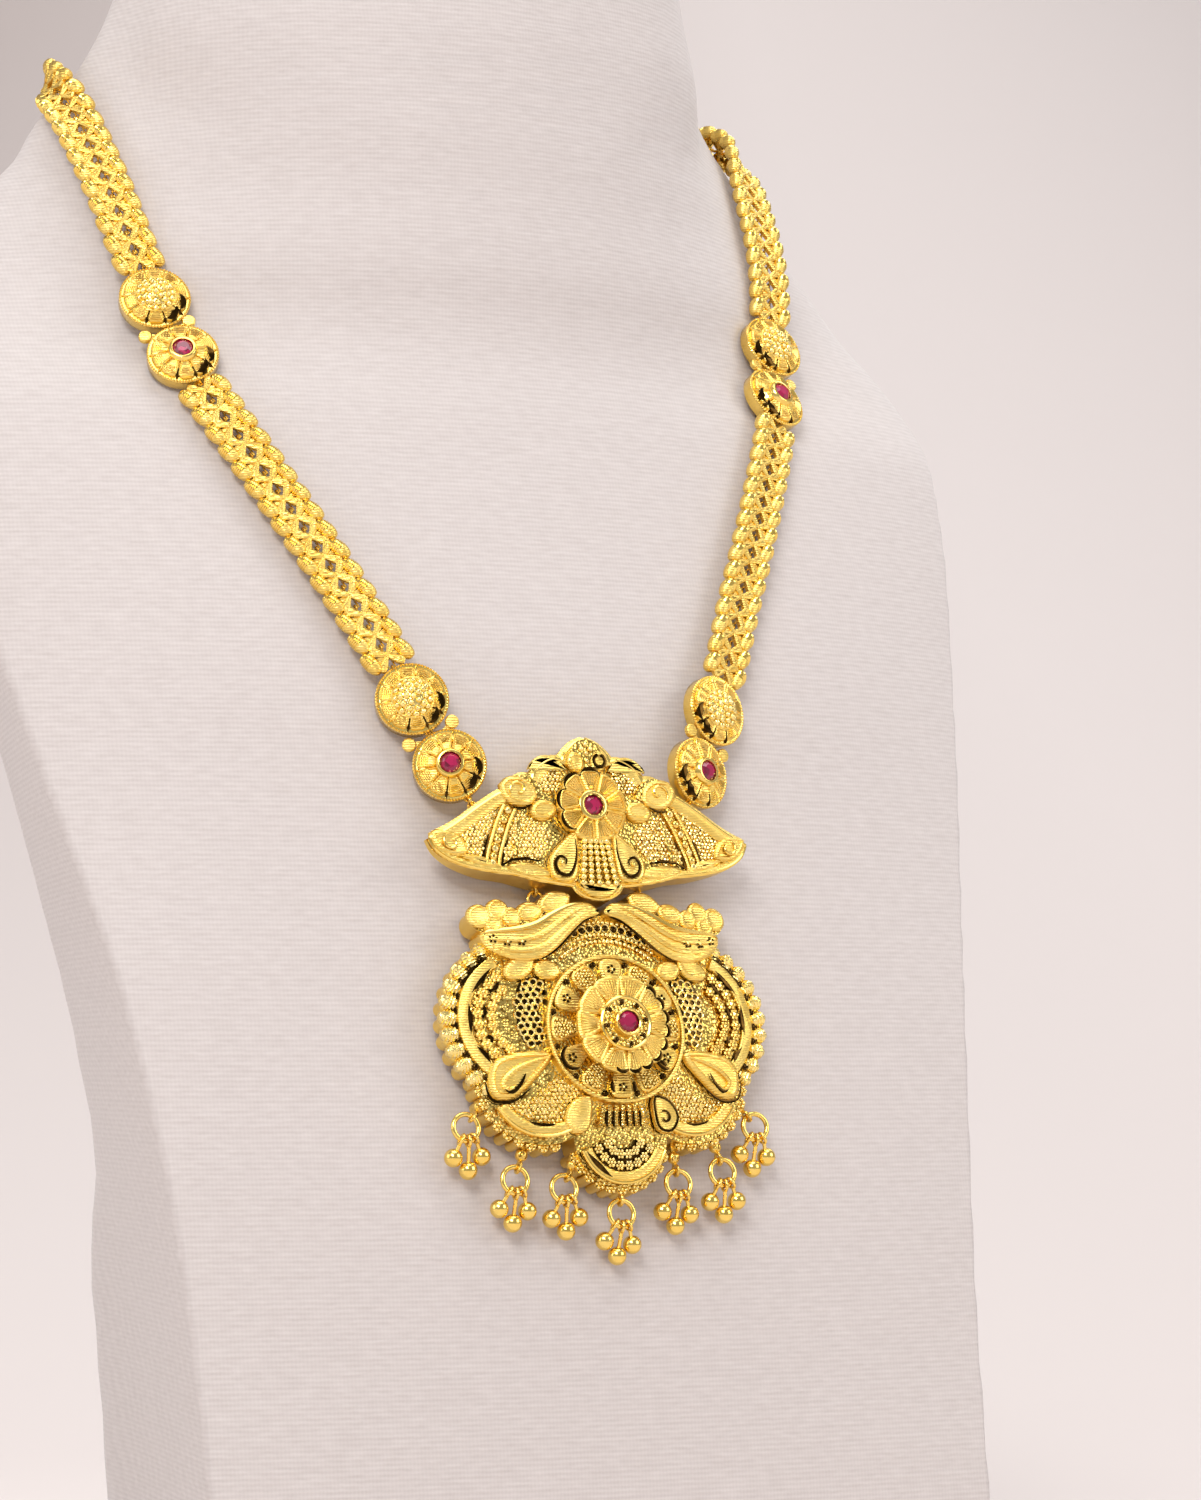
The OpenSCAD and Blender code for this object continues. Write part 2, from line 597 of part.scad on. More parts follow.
module pendant_body() {
    difference() {
        intersection() {
            translate([0, 0, back_n]) linear_extrude(12) difference() {
                pendant_outline();
                gaps2d();
            }
            pendant_dome(0);
        }
        translate([0, 0, back_n - 1]) intersection() {
            linear_extrude(12) {
                both() {
                    translate(side_at) circle(side_r - wall - 0.3, $fn = even);
                    translate(lobe_at) circle(lobe_r - wall - 0.3, $fn = even);
                }
                translate(fan_at) circle(fan_r - wall - 0.3, $fn = even);
                translate(crown_at) circle(crown_r - wall - 2, $fn = even);
            }
            translate([0, 0, 1 - back_n]) pendant_dome(-1.1 - 0.4);
        }
    }
}
// A petal of the ring plate: round at the rim, narrower toward the flower
ring_petal_r = 2.2;
ring_petal_at = 10.6;
ring_petal_foot = [8, 1.3];
module ring_petal2d() {
    translate([ring_petal_at, 0]) circle(ring_petal_r, $fn = plain);
    polygon([[ring_petal_foot[0], -ring_petal_foot[1]], [ring_petal_at, -ring_petal_r],
        [ring_petal_at, ring_petal_r], ring_petal_foot]);
}
module pendant_reliefs() {
    pendant_relief(0.6) both() {
        translate(side_at) bow(11.2, 12.8, -62, 64);
        translate(lobe_at) bow(8.2, 10, -115, -28);
        sprig([17.2, 5.4], -28, 5.4, 3);
        sprig([12.4, 4.6], 8, 5, 2.6);
    }
    pendant_relief(1) {
        both() {
            polygon(closed_run(swirl_run, 2));
            polygon(closed_run(small_paisley_run, 2));
        }
        translate(fan_at) bow(6.8, 8.4, -158, -22);
        for (i = [-3:3]) translate([1.25 * i, -22.2]) square([0.8, 3.4], center = true);
    }
    pendant_relief(1.7) wings_and_leaves2d();
    translate(concat(flower_at, 1)) cylinder(r = disc_ring_r, h = dome_h - 0.9, $fn = even);
    translate(concat(flower_at, 1)) difference() {
        cylinder(r = disc_ring_r, h = dome_h - 0.4, $fn = even);
        cylinder(r = disc_ring_r - 0.8, h = dome_h + 1, $fn = even);
    }
    translate(concat(flower_at, 1)) for (i = [0:11]) rotate(30 * i)
        linear_extrude(dome_h - (i % 2 == 0 ? 0.3 : 0.1)) ring_petal2d();
}
pendant_stone_d = stone_d + 0.2;
pendant_girdle = flower_edge_h + 1.9;
cup_low = dome_h + 0.1;
cup_floor = flower_edge_h - 1;
module flower() {
    translate(flower_at) {
        difference() {
            union() {
                translate([0, 0, cup_low - 1])
                    cylinder(r1 = 4.6, r2 = 7, h = cup_floor - cup_low + 1.1, $fn = fine);
                translate([0, 0, cup_floor]) linear_extrude(flower_edge_h - cup_floor)
                    for (i = [1:flower_petals]) rotate(360 * i / flower_petals) translate([flower_r - 2.5, 0])
                        circle(2.5, $fn = plain);
            }
            translate([0, 0, cup_floor + 0.3]) cylinder(r1 = 4, r2 = 7.4, h = 0.8, $fn = fine);
        }
        difference() {
            translate([0, 0, cup_floor - 1]) cylinder(r = filigree_r, h = 2.9, $fn = fine);
            for (i = [1:12]) rotate(30 * i) translate([3.75, 0, cup_floor + 1.3])
                cylinder(r = 0.5, h = 1, $fn = 3);
        }
        collar(pendant_stone_d, cup_floor + 0.5, pendant_girdle);
    }
}
module lower_pendant() {
    color("gold") on_plane() {
        difference() {
            union() {
                pendant_body();
                coil_beads();
                rosettes();
                pendant_reliefs();
                flower();
            }
            translate(flower_at) seat_bore(pendant_stone_d, pendant_girdle);
            both() translate([hinge_at[0], hinge_at[1], back_n - 1])
                cylinder(r = hinge_ring_r + 0.7, h = hinge_n + 0.7 - back_n + 1, $fn = fine);
        }
        both() plane_eye([hinge_at[0], hinge_at[1] - hinge_ring_r], 0);
        for (r = drop_rows) translate([r[0], r[1], drop_n]) rotate(r[2]) drop_eye(r[3]);
    }
}
module pendant_ruby() {
    color("crimson") on_plane() translate(concat(flower_at, pendant_girdle)) gem(pendant_stone_d - 0.1);
}

// Rings and drops
jump_r = ring_d / 2 - ring_wire / 2;
// An eye for a jump ring on a shank, with a nugget where the shank is long
module drop_eye(shank) {
    translate([0, jump_r + 0.05, 0]) {
        rotate([0, 90, 0]) ring(drop_eye_r, drop_eye_wire);
        translate([-shank_w / 2, drop_eye_r - 0.1, -shank_w / 2]) cube([shank_w, shank, shank_w]);
        if (shank > nugget_up) translate([0, nugget_up, 0]) sphere(nugget_r, $fn = plain);
    }
}
module drop(i) {
    r = drop_rows[i];
    color("gold") on_plane() translate([r[0], r[1], drop_n]) {
        ring(jump_r, ring_wire / 2);
        rotate(r[4]) for (b = ball_rows) ball_on_loop(b);
    }
}
// A small loop on the jump ring with a bent stem down to its ball
module ball_on_loop(b) {
    hang = jump_r * [sin(b[0]), -cos(b[0])];
    low = hang + loop_r * unit([b[1], b[2]] - hang);
    down = [b[1], b[2]] - low;
    translate([hang[0], hang[1], 0]) rotate(b[0]) rotate([0, 90, 0]) ring(loop_r, loop_wire);
    translate([low[0], low[1], 0]) rotate(atan2(down[1], down[0])) rotate([0, atan2(-b[3], norm(down)), 0])
        translate([-0.1, 0, 0]) rotate([0, 90, 0])
            cylinder(r = stem_r, h = norm([norm(down), b[3]]), $fn = small);
    translate([b[1], b[2], b[3]]) sphere(d = ball_d, $fn = plain);
}
module hinge_ring(s) {
    color("gold") on_plane() translate([s * hinge_at[0], hinge_at[1], hinge_n])
        ring(hinge_ring_r, hinge_wire);
}
hanger_step = 0.01;
module hanger_ring(s) {
    color("gold") side(s) on_band(-hanger_step, hanger_step) translate([0, -hanger_drop, 0])
        rotate([0, 90, 0]) ring(hanger_ring_r, hanger_wire);
}
module clasp() {
    end = band_at(high_end);
    color("gold") translate([0, end[1], end[2]]) {
        rotate([0, 90, 0]) cylinder(d = clasp_d, h = 2 * end[0] - 3.4, center = true, $fn = plain);
        both() {
            translate([end[0], 0, 0]) cylinder(r = pin_r, h = 2 * arm_x, center = true, $fn = small);
            for (z = [-1, 1]) translate([end[0] - 1.3, 0, z * arm_x]) cube([3, 2 * pin_r, arm_w], center = true);
        }
    }
}

neck_bust();
upper_plaque();
plaque_ruby();
lower_pendant();
pendant_ruby();
hinge_ring(-1);  // hinge_ring_left
hinge_ring(1);  // hinge_ring_right
hanger_ring(-1);  // hanger_ring_left
hanger_ring(1);  // hanger_ring_right
low_ruby_disc(-1);  // low_ruby_disc_left
low_ruby_disc(1);  // low_ruby_disc_right
low_grain_disc(-1);  // low_grain_disc_left
low_grain_disc(1);  // low_grain_disc_right
high_ruby_disc(-1);  // high_ruby_disc_left
high_ruby_disc(1);  // high_ruby_disc_right
high_grain_disc(-1);  // high_grain_disc_left
high_grain_disc(1);  // high_grain_disc_right
low_ruby(-1);  // low_ruby_left
low_ruby(1);  // low_ruby_right
high_ruby(-1);  // high_ruby_left
high_ruby(1);  // high_ruby_right
low_band(-1);  // low_band_left
low_band(1);  // low_band_right
high_band(-1);  // high_band_left
high_band(1);  // high_band_right
drop(0);  // drop_1
drop(1);  // drop_2
drop(2);  // drop_3
drop(3);  // drop_4
drop(4);  // drop_5
drop(5);  // drop_6
drop(6);  // drop_7
clasp();
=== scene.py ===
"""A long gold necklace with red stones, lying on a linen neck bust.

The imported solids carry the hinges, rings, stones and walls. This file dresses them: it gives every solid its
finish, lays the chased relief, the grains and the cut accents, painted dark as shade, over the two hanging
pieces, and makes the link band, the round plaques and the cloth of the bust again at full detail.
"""

import logging
import math
import random
from collections.abc import Callable, Iterable, Sequence
from dataclasses import dataclass
from enum import Enum

import bmesh
import bpy
from mathutils import Matrix, Vector

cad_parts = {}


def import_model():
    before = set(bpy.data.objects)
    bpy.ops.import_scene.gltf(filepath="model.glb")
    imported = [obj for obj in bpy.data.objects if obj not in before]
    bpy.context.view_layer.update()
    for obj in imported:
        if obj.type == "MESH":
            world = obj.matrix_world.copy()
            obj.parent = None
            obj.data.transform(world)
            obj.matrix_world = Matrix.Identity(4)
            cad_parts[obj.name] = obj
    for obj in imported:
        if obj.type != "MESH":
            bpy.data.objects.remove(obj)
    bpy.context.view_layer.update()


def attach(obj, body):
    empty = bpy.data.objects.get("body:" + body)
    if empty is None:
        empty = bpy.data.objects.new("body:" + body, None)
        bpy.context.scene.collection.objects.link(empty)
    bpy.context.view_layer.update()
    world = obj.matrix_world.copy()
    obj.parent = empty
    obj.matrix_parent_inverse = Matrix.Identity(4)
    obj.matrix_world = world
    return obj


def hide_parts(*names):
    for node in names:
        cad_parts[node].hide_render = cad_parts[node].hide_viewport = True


log = logging.getLogger("necklace")

MM = 0.001
SEED = 7
WELD = 0.0005
# The thickness of a tapering wire's tips, as a share of its own.
THINNEST = 0.08
# The bounds of a struck grain's size, as shares of its radius, and how far it sits off its height.
GRAIN_SIZES = (0.85, 1.1)
GRAIN_STRAY = 0.05
# Edges that bend by fewer degrees than this look round.
ROUND_BELOW = 42
# The radius of a fine raised line on a petal.
HATCH_R = 0.09
# How far scattered points stray, as a share of their pitch.
STRAY = 0.18
# The scale that puts a Wave texture's bands one metre apart.
WAVE_SCALE = 0.314
Point = tuple[float, float]
Run = tuple[Point, ...]
Lift = Callable[[float, float], float]
Colour = tuple[float, float, float, float]
HERE = Matrix.Identity(4)
FLIP = Matrix.Diagonal((-1, 1, 1, 1))


class Side(Enum):
    """The two halves of the necklace, seen from the front."""

    LEFT = -1
    RIGHT = 1

    @property
    def word(self) -> str:
        """The ending of a node's name on this side."""
        return self.name.lower()

    @property
    def mirror(self) -> Matrix:
        """Turns a right-hand piece into one of this side."""
        return FLIP if self is Side.LEFT else HERE


# Places

def moved(x: float, y: float, z: float = 0.0) -> Matrix:
    """Gives a shift."""
    return Matrix.Translation((x, y, z))


def spun(degrees: float, axis: str = "Z") -> Matrix:
    """Gives a turn about an axis."""
    return Matrix.Rotation(math.radians(degrees), 4, axis)


def scaled(x: float, y: float, z: float) -> Matrix:
    """Gives a stretch."""
    return Matrix.Diagonal((x, y, z, 1))


# Curves and outlines

def smooth_at(rows: Sequence[Sequence[float]], t: float) -> tuple[float, ...]:
    """Gives a point of the smooth curve through some rows.

    Args:
        rows: the rows that the curve passes through.
        t: the row number, with its fraction.

    Returns:
        The values of every column there.
    """
    i = min(int(t), len(rows) - 2)
    f = t - i
    a, b, c, d = (rows[min(max(i + k, 0), len(rows) - 1)] for k in (-1, 0, 1, 2))
    return tuple(0.5 * (2 * q + (r - p) * f + (2 * p - 5 * q + 4 * r - s) * f * f
                        + (3 * q - p - 3 * r + s) * f ** 3)
                 for p, q, r, s in zip(a, b, c, d))


def open_curve(run: Sequence[Point], k: int) -> list[Point]:
    """Smooths an open run of points, k steps to a stretch."""
    return [smooth_at(run, i / k) for i in range(k * (len(run) - 1) + 1)]


def closed_curve(run: Sequence[Point], k: int) -> list[Point]:
    """Smooths a closed run of points, k steps to a stretch.

    Args:
        run: the points, the last one joined to the first.
        k: the number of steps.

    Returns:
        The curve's points.
    """
    n = len(run)
    wrapped = [run[(i + n) % n] for i in range(-1, n + 2)]
    return [smooth_at(wrapped, i / k) for i in range(k, k * (n + 1))]


def polar(at: Point, radius: float, degrees: float) -> Point:
    """Gives a point at a distance and a direction from another."""
    a = math.radians(degrees)
    return (at[0] + radius * math.cos(a), at[1] + radius * math.sin(a))


def arc(at: Point, radius: float, start: float, end: float, steps: int = 16) -> list[Point]:
    """Makes an open arc between two directions, in degrees."""
    return [polar(at, radius, start + (end - start) * i / steps) for i in range(steps + 1)]


def disc(at: Point, radius: float, steps: int = 20) -> list[Point]:
    """Makes the outline of a circle."""
    return arc(at, radius, 0, 360, steps)[:-1]


def sector(at: Point, outer: float, inner: float, start: float, end: float, steps: int,
           inner_steps: int = 0) -> list[Point]:
    """Makes the outline of a part of a ring.

    Args:
        at: the ring's middle.
        outer: its outer radius.
        inner: its inner radius.
        start: the direction of one end, in degrees.
        end: the direction of the other end.
        steps: stretches of the outer edge.
        inner_steps: stretches of the inner edge, where they are fewer.

    Returns:
        The outline.
    """
    return arc(at, outer, start, end, steps) + arc(at, inner, end, start, inner_steps or steps)


def turned_about(points: Iterable[Point], at: Point, degrees: float) -> list[Point]:
    """Turns points about the origin, then moves them."""
    c, s = math.cos(math.radians(degrees)), math.sin(math.radians(degrees))
    return [(at[0] + x * c - y * s, at[1] + x * s + y * c) for x, y in points]


def lens(at: Point, turn: float, length: float, width: float, steps: int,
         swell: float = 0.85) -> list[Point]:
    """Makes the outline of a leaf that is pointed at both ends.

    Args:
        at: the leaf's middle.
        turn: its direction, in degrees.
        length: tip to tip.
        width: across the middle.
        steps: points on each side.
        swell: how full its ends are, fuller toward 0.

    Returns:
        The outline, anticlockwise.
    """
    side = [(-length / 2 + length * i / steps, -width / 2 * math.sin(math.pi * i / steps) ** swell)
            for i in range(steps)]
    return turned_about(side + [(-x, -y) for x, y in side], at, turn)


def petal(at: Point, turn: float, start: float, end: float, width: float, steps: int) -> list[Point]:
    """Makes the outline of a petal that spreads out from a point and ends round.

    Args:
        at: the flower's middle.
        turn: the petal's direction, in degrees.
        start: how far out it begins.
        end: how far out it ends.
        width: across its widest part.
        steps: smoothing steps.

    Returns:
        The outline, anticlockwise.
    """
    run = [(0, -0.16), (0.4, -0.36), (0.78, -0.5), (0.97, -0.34), (1, 0)]
    whole = run + [(x, -y) for x, y in run[-2::-1]]
    sized = [(start + (end - start) * x, width * y) for x, y in whole]
    return turned_about(closed_curve(sized, steps), at, turn)


def crescent(at: Point, radius: float, thick: float, start: float, end: float,
             steps: int = 12) -> list[Point]:
    """Makes the outline of an arc that is thick in its middle and pointed at its ends.

    Args:
        at: the arc's centre.
        radius: the outer radius.
        thick: the width in the middle.
        start: the direction of one tip, in degrees.
        end: the direction of the other tip.
        steps: points on each edge.

    Returns:
        The outline, anticlockwise when the end is past the start.
    """
    inner = [polar(at, radius - thick * math.sin(math.pi * i / steps), start + (end - start) * i / steps)
             for i in range(1, steps)]
    return arc(at, radius, start, end, steps) + inner[::-1]


def curl(at: Point, radius: float, start: float, sweep: float) -> list[Point]:
    """Makes an open spiral that winds in from a radius.

    Args:
        at: its middle.
        radius: its outer radius.
        start: the direction of its outer end, in degrees.
        sweep: how far it turns, in degrees.

    Returns:
        Its points, from the outside in.
    """
    return [polar(at, radius * (1 - 0.75 * i / 16), start + sweep * i / 16) for i in range(17)]


def grown(outline: Sequence[Point], by: float) -> list[Point]:
    """Widens an anticlockwise outline, or narrows it with a minus sign.

    Args:
        outline: the outline.
        by: how far it moves out.

    Returns:
        The new outline.
    """
    n = len(outline)
    wider = []
    for i, (x, y) in enumerate(outline):
        (x0, y0), (x1, y1) = outline[i - 1], outline[(i + 1) % n]
        length = math.hypot(x1 - x0, y1 - y0) or 1
        wider.append((x + by * (y1 - y0) / length, y - by * (x1 - x0) / length))
    return wider


def edges_of(outline: Sequence[Point]) -> Iterable[tuple[Point, Point]]:
    """Pairs each point of an outline with the next."""
    return zip(outline, [*outline[1:], outline[0]])


def anticlockwise(outline: Sequence[Point]) -> list[Point]:
    """Turns an outline's order round where it runs clockwise."""
    area = sum(a[0] * b[1] - a[1] * b[0] for a, b in edges_of(outline))
    return list(outline) if area > 0 else list(outline)[::-1]


def inside(outline: Sequence[Point], p: Point) -> bool:
    """Tells whether a point lies inside an outline.

    Args:
        outline: the outline.
        p: the point.

    Returns:
        Whether it does.
    """
    hit = False
    for (x0, y0), (x1, y1) in edges_of(outline):
        if (y0 > p[1]) != (y1 > p[1]) and p[0] < x0 + (p[1] - y0) * (x1 - x0) / (y1 - y0):
            hit = not hit
    return hit


def scattered(outline: Sequence[Point], pitch: float,
              free: Sequence[Sequence[Point]] = ()) -> list[Point]:
    """Spreads points evenly over an outline, a little out of line.

    Args:
        outline: where the points go.
        pitch: the distance between them.
        free: outlines that stay empty.

    Returns:
        The points.
    """
    rng = random.Random(SEED + len(outline))
    low = [min(p[k] for p in outline) for k in (0, 1)]
    high = [max(p[k] for p in outline) for k in (0, 1)]
    rise = pitch * math.sqrt(3) / 2
    stray = STRAY * pitch
    columns, rows = int((high[0] - low[0]) / pitch) + 2, int((high[1] - low[1]) / rise) + 2
    spots = [(low[0] + (i + 0.5 * (j % 2)) * pitch + rng.uniform(-stray, stray),
              low[1] + j * rise + rng.uniform(-stray, stray))
             for j in range(rows) for i in range(columns)]
    return [p for p in spots if inside(outline, p) and not any(inside(f, p) for f in free)]


# Materials

class Socket:
    """A shader value that Python's operators work on."""

    def __init__(self, graph: "Graph", link: bpy.types.NodeSocket) -> None:
        """Keeps the graph and the output socket that carries the value."""
        self.graph = graph
        self.link = link

    def _maths(self, operation: str, a: "Value", b: "Value") -> "Socket":
        """Adds one Math node."""
        return self.graph.node("ShaderNodeMath", {"operation": operation}, {0: a, 1: b})

    def __add__(self, other: "Value") -> "Socket":
        """Adds a value."""
        return self._maths("ADD", self, other)

    __radd__ = __add__

    def __sub__(self, other: "Value") -> "Socket":
        """Takes a value away."""
        return self._maths("SUBTRACT", self, other)

    def __rsub__(self, other: "Value") -> "Socket":
        """Takes this from a value."""
        return self._maths("SUBTRACT", other, self)

    def __mul__(self, other: "Value") -> "Socket":
        """Multiplies by a value."""
        return self._maths("MULTIPLY", self, other)

    __rmul__ = __mul__

    def __pow__(self, other: "Value") -> "Socket":
        """Raises to a power."""
        return self._maths("POWER", self, other)

    def __gt__(self, other: "Value") -> "Socket":
        """Gives 1 where this is greater."""
        return self._maths("GREATER_THAN", self, other)


Value = Socket | float


class Graph:
    """The node tree of one material."""

    def __init__(self, name: str) -> None:
        """Starts a material with its shader.

        Args:
            name: the material's name.
        """
        self.material = bpy.data.materials.new(name)
        self.material.use_nodes = True
        self.tree = self.material.node_tree
        self.shader = next(n for n in self.tree.nodes if n.type == "BSDF_PRINCIPLED")

    @staticmethod
    def _fill(socket: bpy.types.NodeSocket, value: object) -> None:
        """Links a value to an input socket, or writes it there.

        Args:
            socket: the input socket.
            value: a socket, a number or a colour.
        """
        if isinstance(value, Socket):
            value.graph.tree.links.new(value.link, socket)
        else:
            socket.default_value = value

    def node(self, kind: str, settings: dict[str, object] | None = None,
             inputs: dict[str | int, object] | None = None, output: str | int = 0) -> Socket:
        """Adds any node.

        Args:
            kind: the node's type.
            settings: its own properties.
            inputs: numbers, colours or sockets for its input sockets.
            output: the output socket to hand back.

        Returns:
            That output.
        """
        made = self.tree.nodes.new(kind)
        for key, value in (settings or {}).items():
            setattr(made, key, value)
        for key, value in (inputs or {}).items():
            self._fill(made.inputs[key], value)
        return Socket(self, made.outputs[output])

    def place(self) -> Socket:
        """Gives the object coordinates."""
        return self.node("ShaderNodeTexCoord", output="Object")

    def stretched(self, scale: Sequence[float]) -> Socket:
        """Gives the object coordinates, scaled on each axis."""
        return self.node("ShaderNodeMapping", None, {"Vector": self.place(), "Scale": tuple(scale)})

    def noise(self, vector: Socket, scale: float, detail: float = 2) -> Socket:
        """Adds a noise texture."""
        inputs = {"Vector": vector, "Scale": scale, "Detail": detail}
        return self.node("ShaderNodeTexNoise", None, inputs, "Fac")

    def waves(self, axis: str, pitch: float, stray: float) -> Socket:
        """Adds straight bands across an axis, a pitch in metres apart, that stray a little.

        Args:
            axis: the axis that they cross.
            pitch: the distance between them.
            stray: how much they bend.

        Returns:
            Their height, from 0 to 1.
        """
        inputs = {"Vector": self.place(), "Scale": WAVE_SCALE / pitch, "Distortion": stray, "Detail": 1.0,
                  "Detail Scale": 2.0}
        return self.node("ShaderNodeTexWave", {"wave_type": "BANDS", "bands_direction": axis}, inputs, "Fac")

    def cells(self, pitch: float, output: str = "Distance") -> Socket:
        """Adds round cells, a pitch in metres apart."""
        return self.node("ShaderNodeTexVoronoi", {"feature": "F1"},
                         {"Vector": self.place(), "Scale": 1 / pitch}, output)

    def mix(self, share: Value, first: object, second: object) -> Socket:
        """Mixes two colours."""
        return self.node("ShaderNodeMix", {"data_type": "RGBA"}, {0: share, 6: first, 7: second}, 2)

    def bump(self, height: Value, distance: float, strength: float = 1) -> Socket:
        """Adds a bump of a real height, in metres."""
        inputs = {"Height": height, "Distance": distance, "Strength": strength}
        return self.node("ShaderNodeBump", None, inputs, "Normal")

    def set(self, **sockets: object) -> None:
        """Fills the shader's sockets, their spaces written as underscores."""
        for name, value in sockets.items():
            self._fill(self.shader.inputs[name.replace("_", " ")], value)


RICH_GOLD: Colour = (0.87, 0.55, 0.085, 1)
PALE_GOLD: Colour = (0.98, 0.75, 0.24, 1)
# Painted shade for the pits between struck grains.
PIT_SHADE_GOLD: Colour = (0.34, 0.17, 0.02, 1)


@dataclass(frozen=True)
class SatinGold:
    """Matt gold with fine scratched lines."""

    name: str = "satin_gold"
    roughness: float = 0.3
    line_pitch: float = 0.00046

    def material(self) -> bpy.types.Material:
        """Builds the material.

        Returns:
            The material.
        """
        g = Graph(self.name)
        cloud = g.noise(g.place(), 260)
        lines = g.waves("Z", self.line_pitch, 2.0)
        g.set(Base_Color=g.mix(cloud, RICH_GOLD, PALE_GOLD), Metallic=1.0,
              Roughness=self.roughness + cloud * 0.1, Normal=g.bump(lines, 0.00006))
        return g.material


@dataclass(frozen=True)
class PolishedGold:
    """Bright gold that mirrors its surroundings."""

    name: str = "polished_gold"
    roughness: float = 0.14

    def material(self) -> bpy.types.Material:
        """Builds the material.

        Returns:
            The material.
        """
        g = Graph(self.name)
        cloud = g.noise(g.place(), 420)
        g.set(Base_Color=g.mix(cloud, RICH_GOLD, PALE_GOLD), Metallic=1.0,
              Roughness=self.roughness + cloud * 0.08, Normal=g.bump(g.noise(g.place(), 700), 0.00002))
        return g.material


@dataclass(frozen=True)
class BodyGold:
    """The two hanging pieces' own gold: struck with fine grains in front, with painted shade in the pits
    between them, satin on the walls and behind.
    """

    name: str = "body_gold"
    grain: float = 0.0006
    ahead: tuple[float, float, float] = (0, -0.974, 0.228)
    facing_over: float = 0.6

    def material(self) -> bpy.types.Material:
        """Builds the material.

        Returns:
            The material.
        """
        g = Graph(self.name)
        facing = g.node("ShaderNodeVectorMath", {"operation": "DOT_PRODUCT"},
                        {0: g.node("ShaderNodeTexCoord", output="Normal"), 1: self.ahead}, "Value")
        struck = facing > self.facing_over
        low = g.cells(self.grain) * 1.25
        cloud = g.noise(g.place(), 300)
        gold = g.mix(cloud, RICH_GOLD, PALE_GOLD)
        # The pits between the grains are painted darker as their shade.
        g.set(Base_Color=g.mix(low ** 3 * struck, gold, PIT_SHADE_GOLD), Metallic=1.0,
              Roughness=0.32 - 0.16 * struck, Normal=g.bump((1 - low) * struck, 0.00013))
        return g.material


@dataclass(frozen=True)
class GlintGold:
    """The tops of raised grains, dented all over, which catch the light in small flashes, with a painted
    highlight on each dent's top.
    """

    name: str = "glint_gold"
    dent: float = 0.0005
    flash: Colour = (1.0, 0.80, 0.32, 1)

    def material(self) -> bpy.types.Material:
        """Builds the material.

        Returns:
            The material.
        """
        g = Graph(self.name)
        low = g.cells(self.dent)
        # Each dent's top is painted paler as a highlight.
        g.set(Base_Color=g.mix(low, self.flash, PALE_GOLD), Metallic=1.0, Roughness=0.12 + low * 0.12,
              Normal=g.bump(1 - low, 0.00009))
        return g.material


@dataclass(frozen=True)
class CutGold:
    """The chased cuts, holes and gaps, painted near-black as their shade and dark reflections."""

    name: str = "cut_gold"
    dark: Colour = (0.025, 0.012, 0.003, 1)
    light: Colour = (0.22, 0.11, 0.02, 1)

    def material(self) -> bpy.types.Material:
        """Builds the material.

        Returns:
            The material.
        """
        g = Graph(self.name)
        cloud = g.noise(g.place(), 700)
        # The near-black colour is painted shade and dark reflection, not the metal's own colour.
        g.set(Base_Color=g.mix(cloud ** 3, self.dark, self.light), Metallic=1.0, Roughness=0.12)
        return g.material


@dataclass(frozen=True)
class RedStone:
    """A cut magenta-red stone."""

    name: str = "red_stone"
    facet: float = 0.0011
    deep: Colour = (0.13, 0.001, 0.018, 1)
    bright: Colour = (0.44, 0.006, 0.075, 1)

    def material(self) -> bpy.types.Material:
        """Builds the material.

        Returns:
            The material.
        """
        g = Graph(self.name)
        spot = g.node("ShaderNodeSeparateColor", None, {"Color": g.cells(self.facet, "Color")}, "Red")
        g.set(Base_Color=g.mix(spot, self.deep, self.bright), Metallic=0.0, Roughness=0.1,
              Coat_Weight=0.45, Coat_Roughness=0.03, IOR=1.5)
        return g.material


@dataclass(frozen=True)
class Linen:
    """Off-white cloth with level threads, stretched over the bust, with painted shade in the weave's hollows.
    """

    name: str = "linen_cloth"
    weft: float = 0.0009
    warp: float = 0.0007
    hollows: Colour = (0.465, 0.408, 0.385, 1)
    threads: Colour = (0.65, 0.592, 0.566, 1)

    def material(self) -> bpy.types.Material:
        """Builds the material.

        Returns:
            The material.
        """
        g = Graph(self.name)
        slubs = g.noise(g.stretched((330, 330, 1250)), 1.0, 3)
        height = g.waves("Z", self.weft, 0.7) * 0.3 + g.waves("X", self.warp, 0.9) * 0.14 + slubs * 0.85
        # The slubs' tone is the cloth's own; the darker hollows between threads are painted shade.
        g.set(Base_Color=g.mix(height * 0.75, self.hollows, self.threads), Roughness=0.92,
              Sheen_Weight=0.2, Sheen_Roughness=0.5, Normal=g.bump(height, 0.0001, 0.5))
        return g.material


@dataclass(frozen=True)
class PalePaint:
    """The plain floor and wall, with painted shade that makes them a little darker up on the left."""

    name: str = "pale_paint"
    light: Colour = (0.745, 0.672, 0.642, 1)
    dark: Colour = (0.48, 0.415, 0.39, 1)

    def material(self) -> bpy.types.Material:
        """Builds the material.

        Returns:
            The material.
        """
        g = Graph(self.name)
        across, up = (g.node("ShaderNodeSeparateXYZ", None, {"Vector": g.place()}, axis) for axis in "XZ")
        # Painted shade: darker toward the left and higher up.
        shade = (0.98 - across) * up * 2.4
        g.set(Base_Color=g.mix(shade, self.light, self.dark), Roughness=0.9)
        return g.material


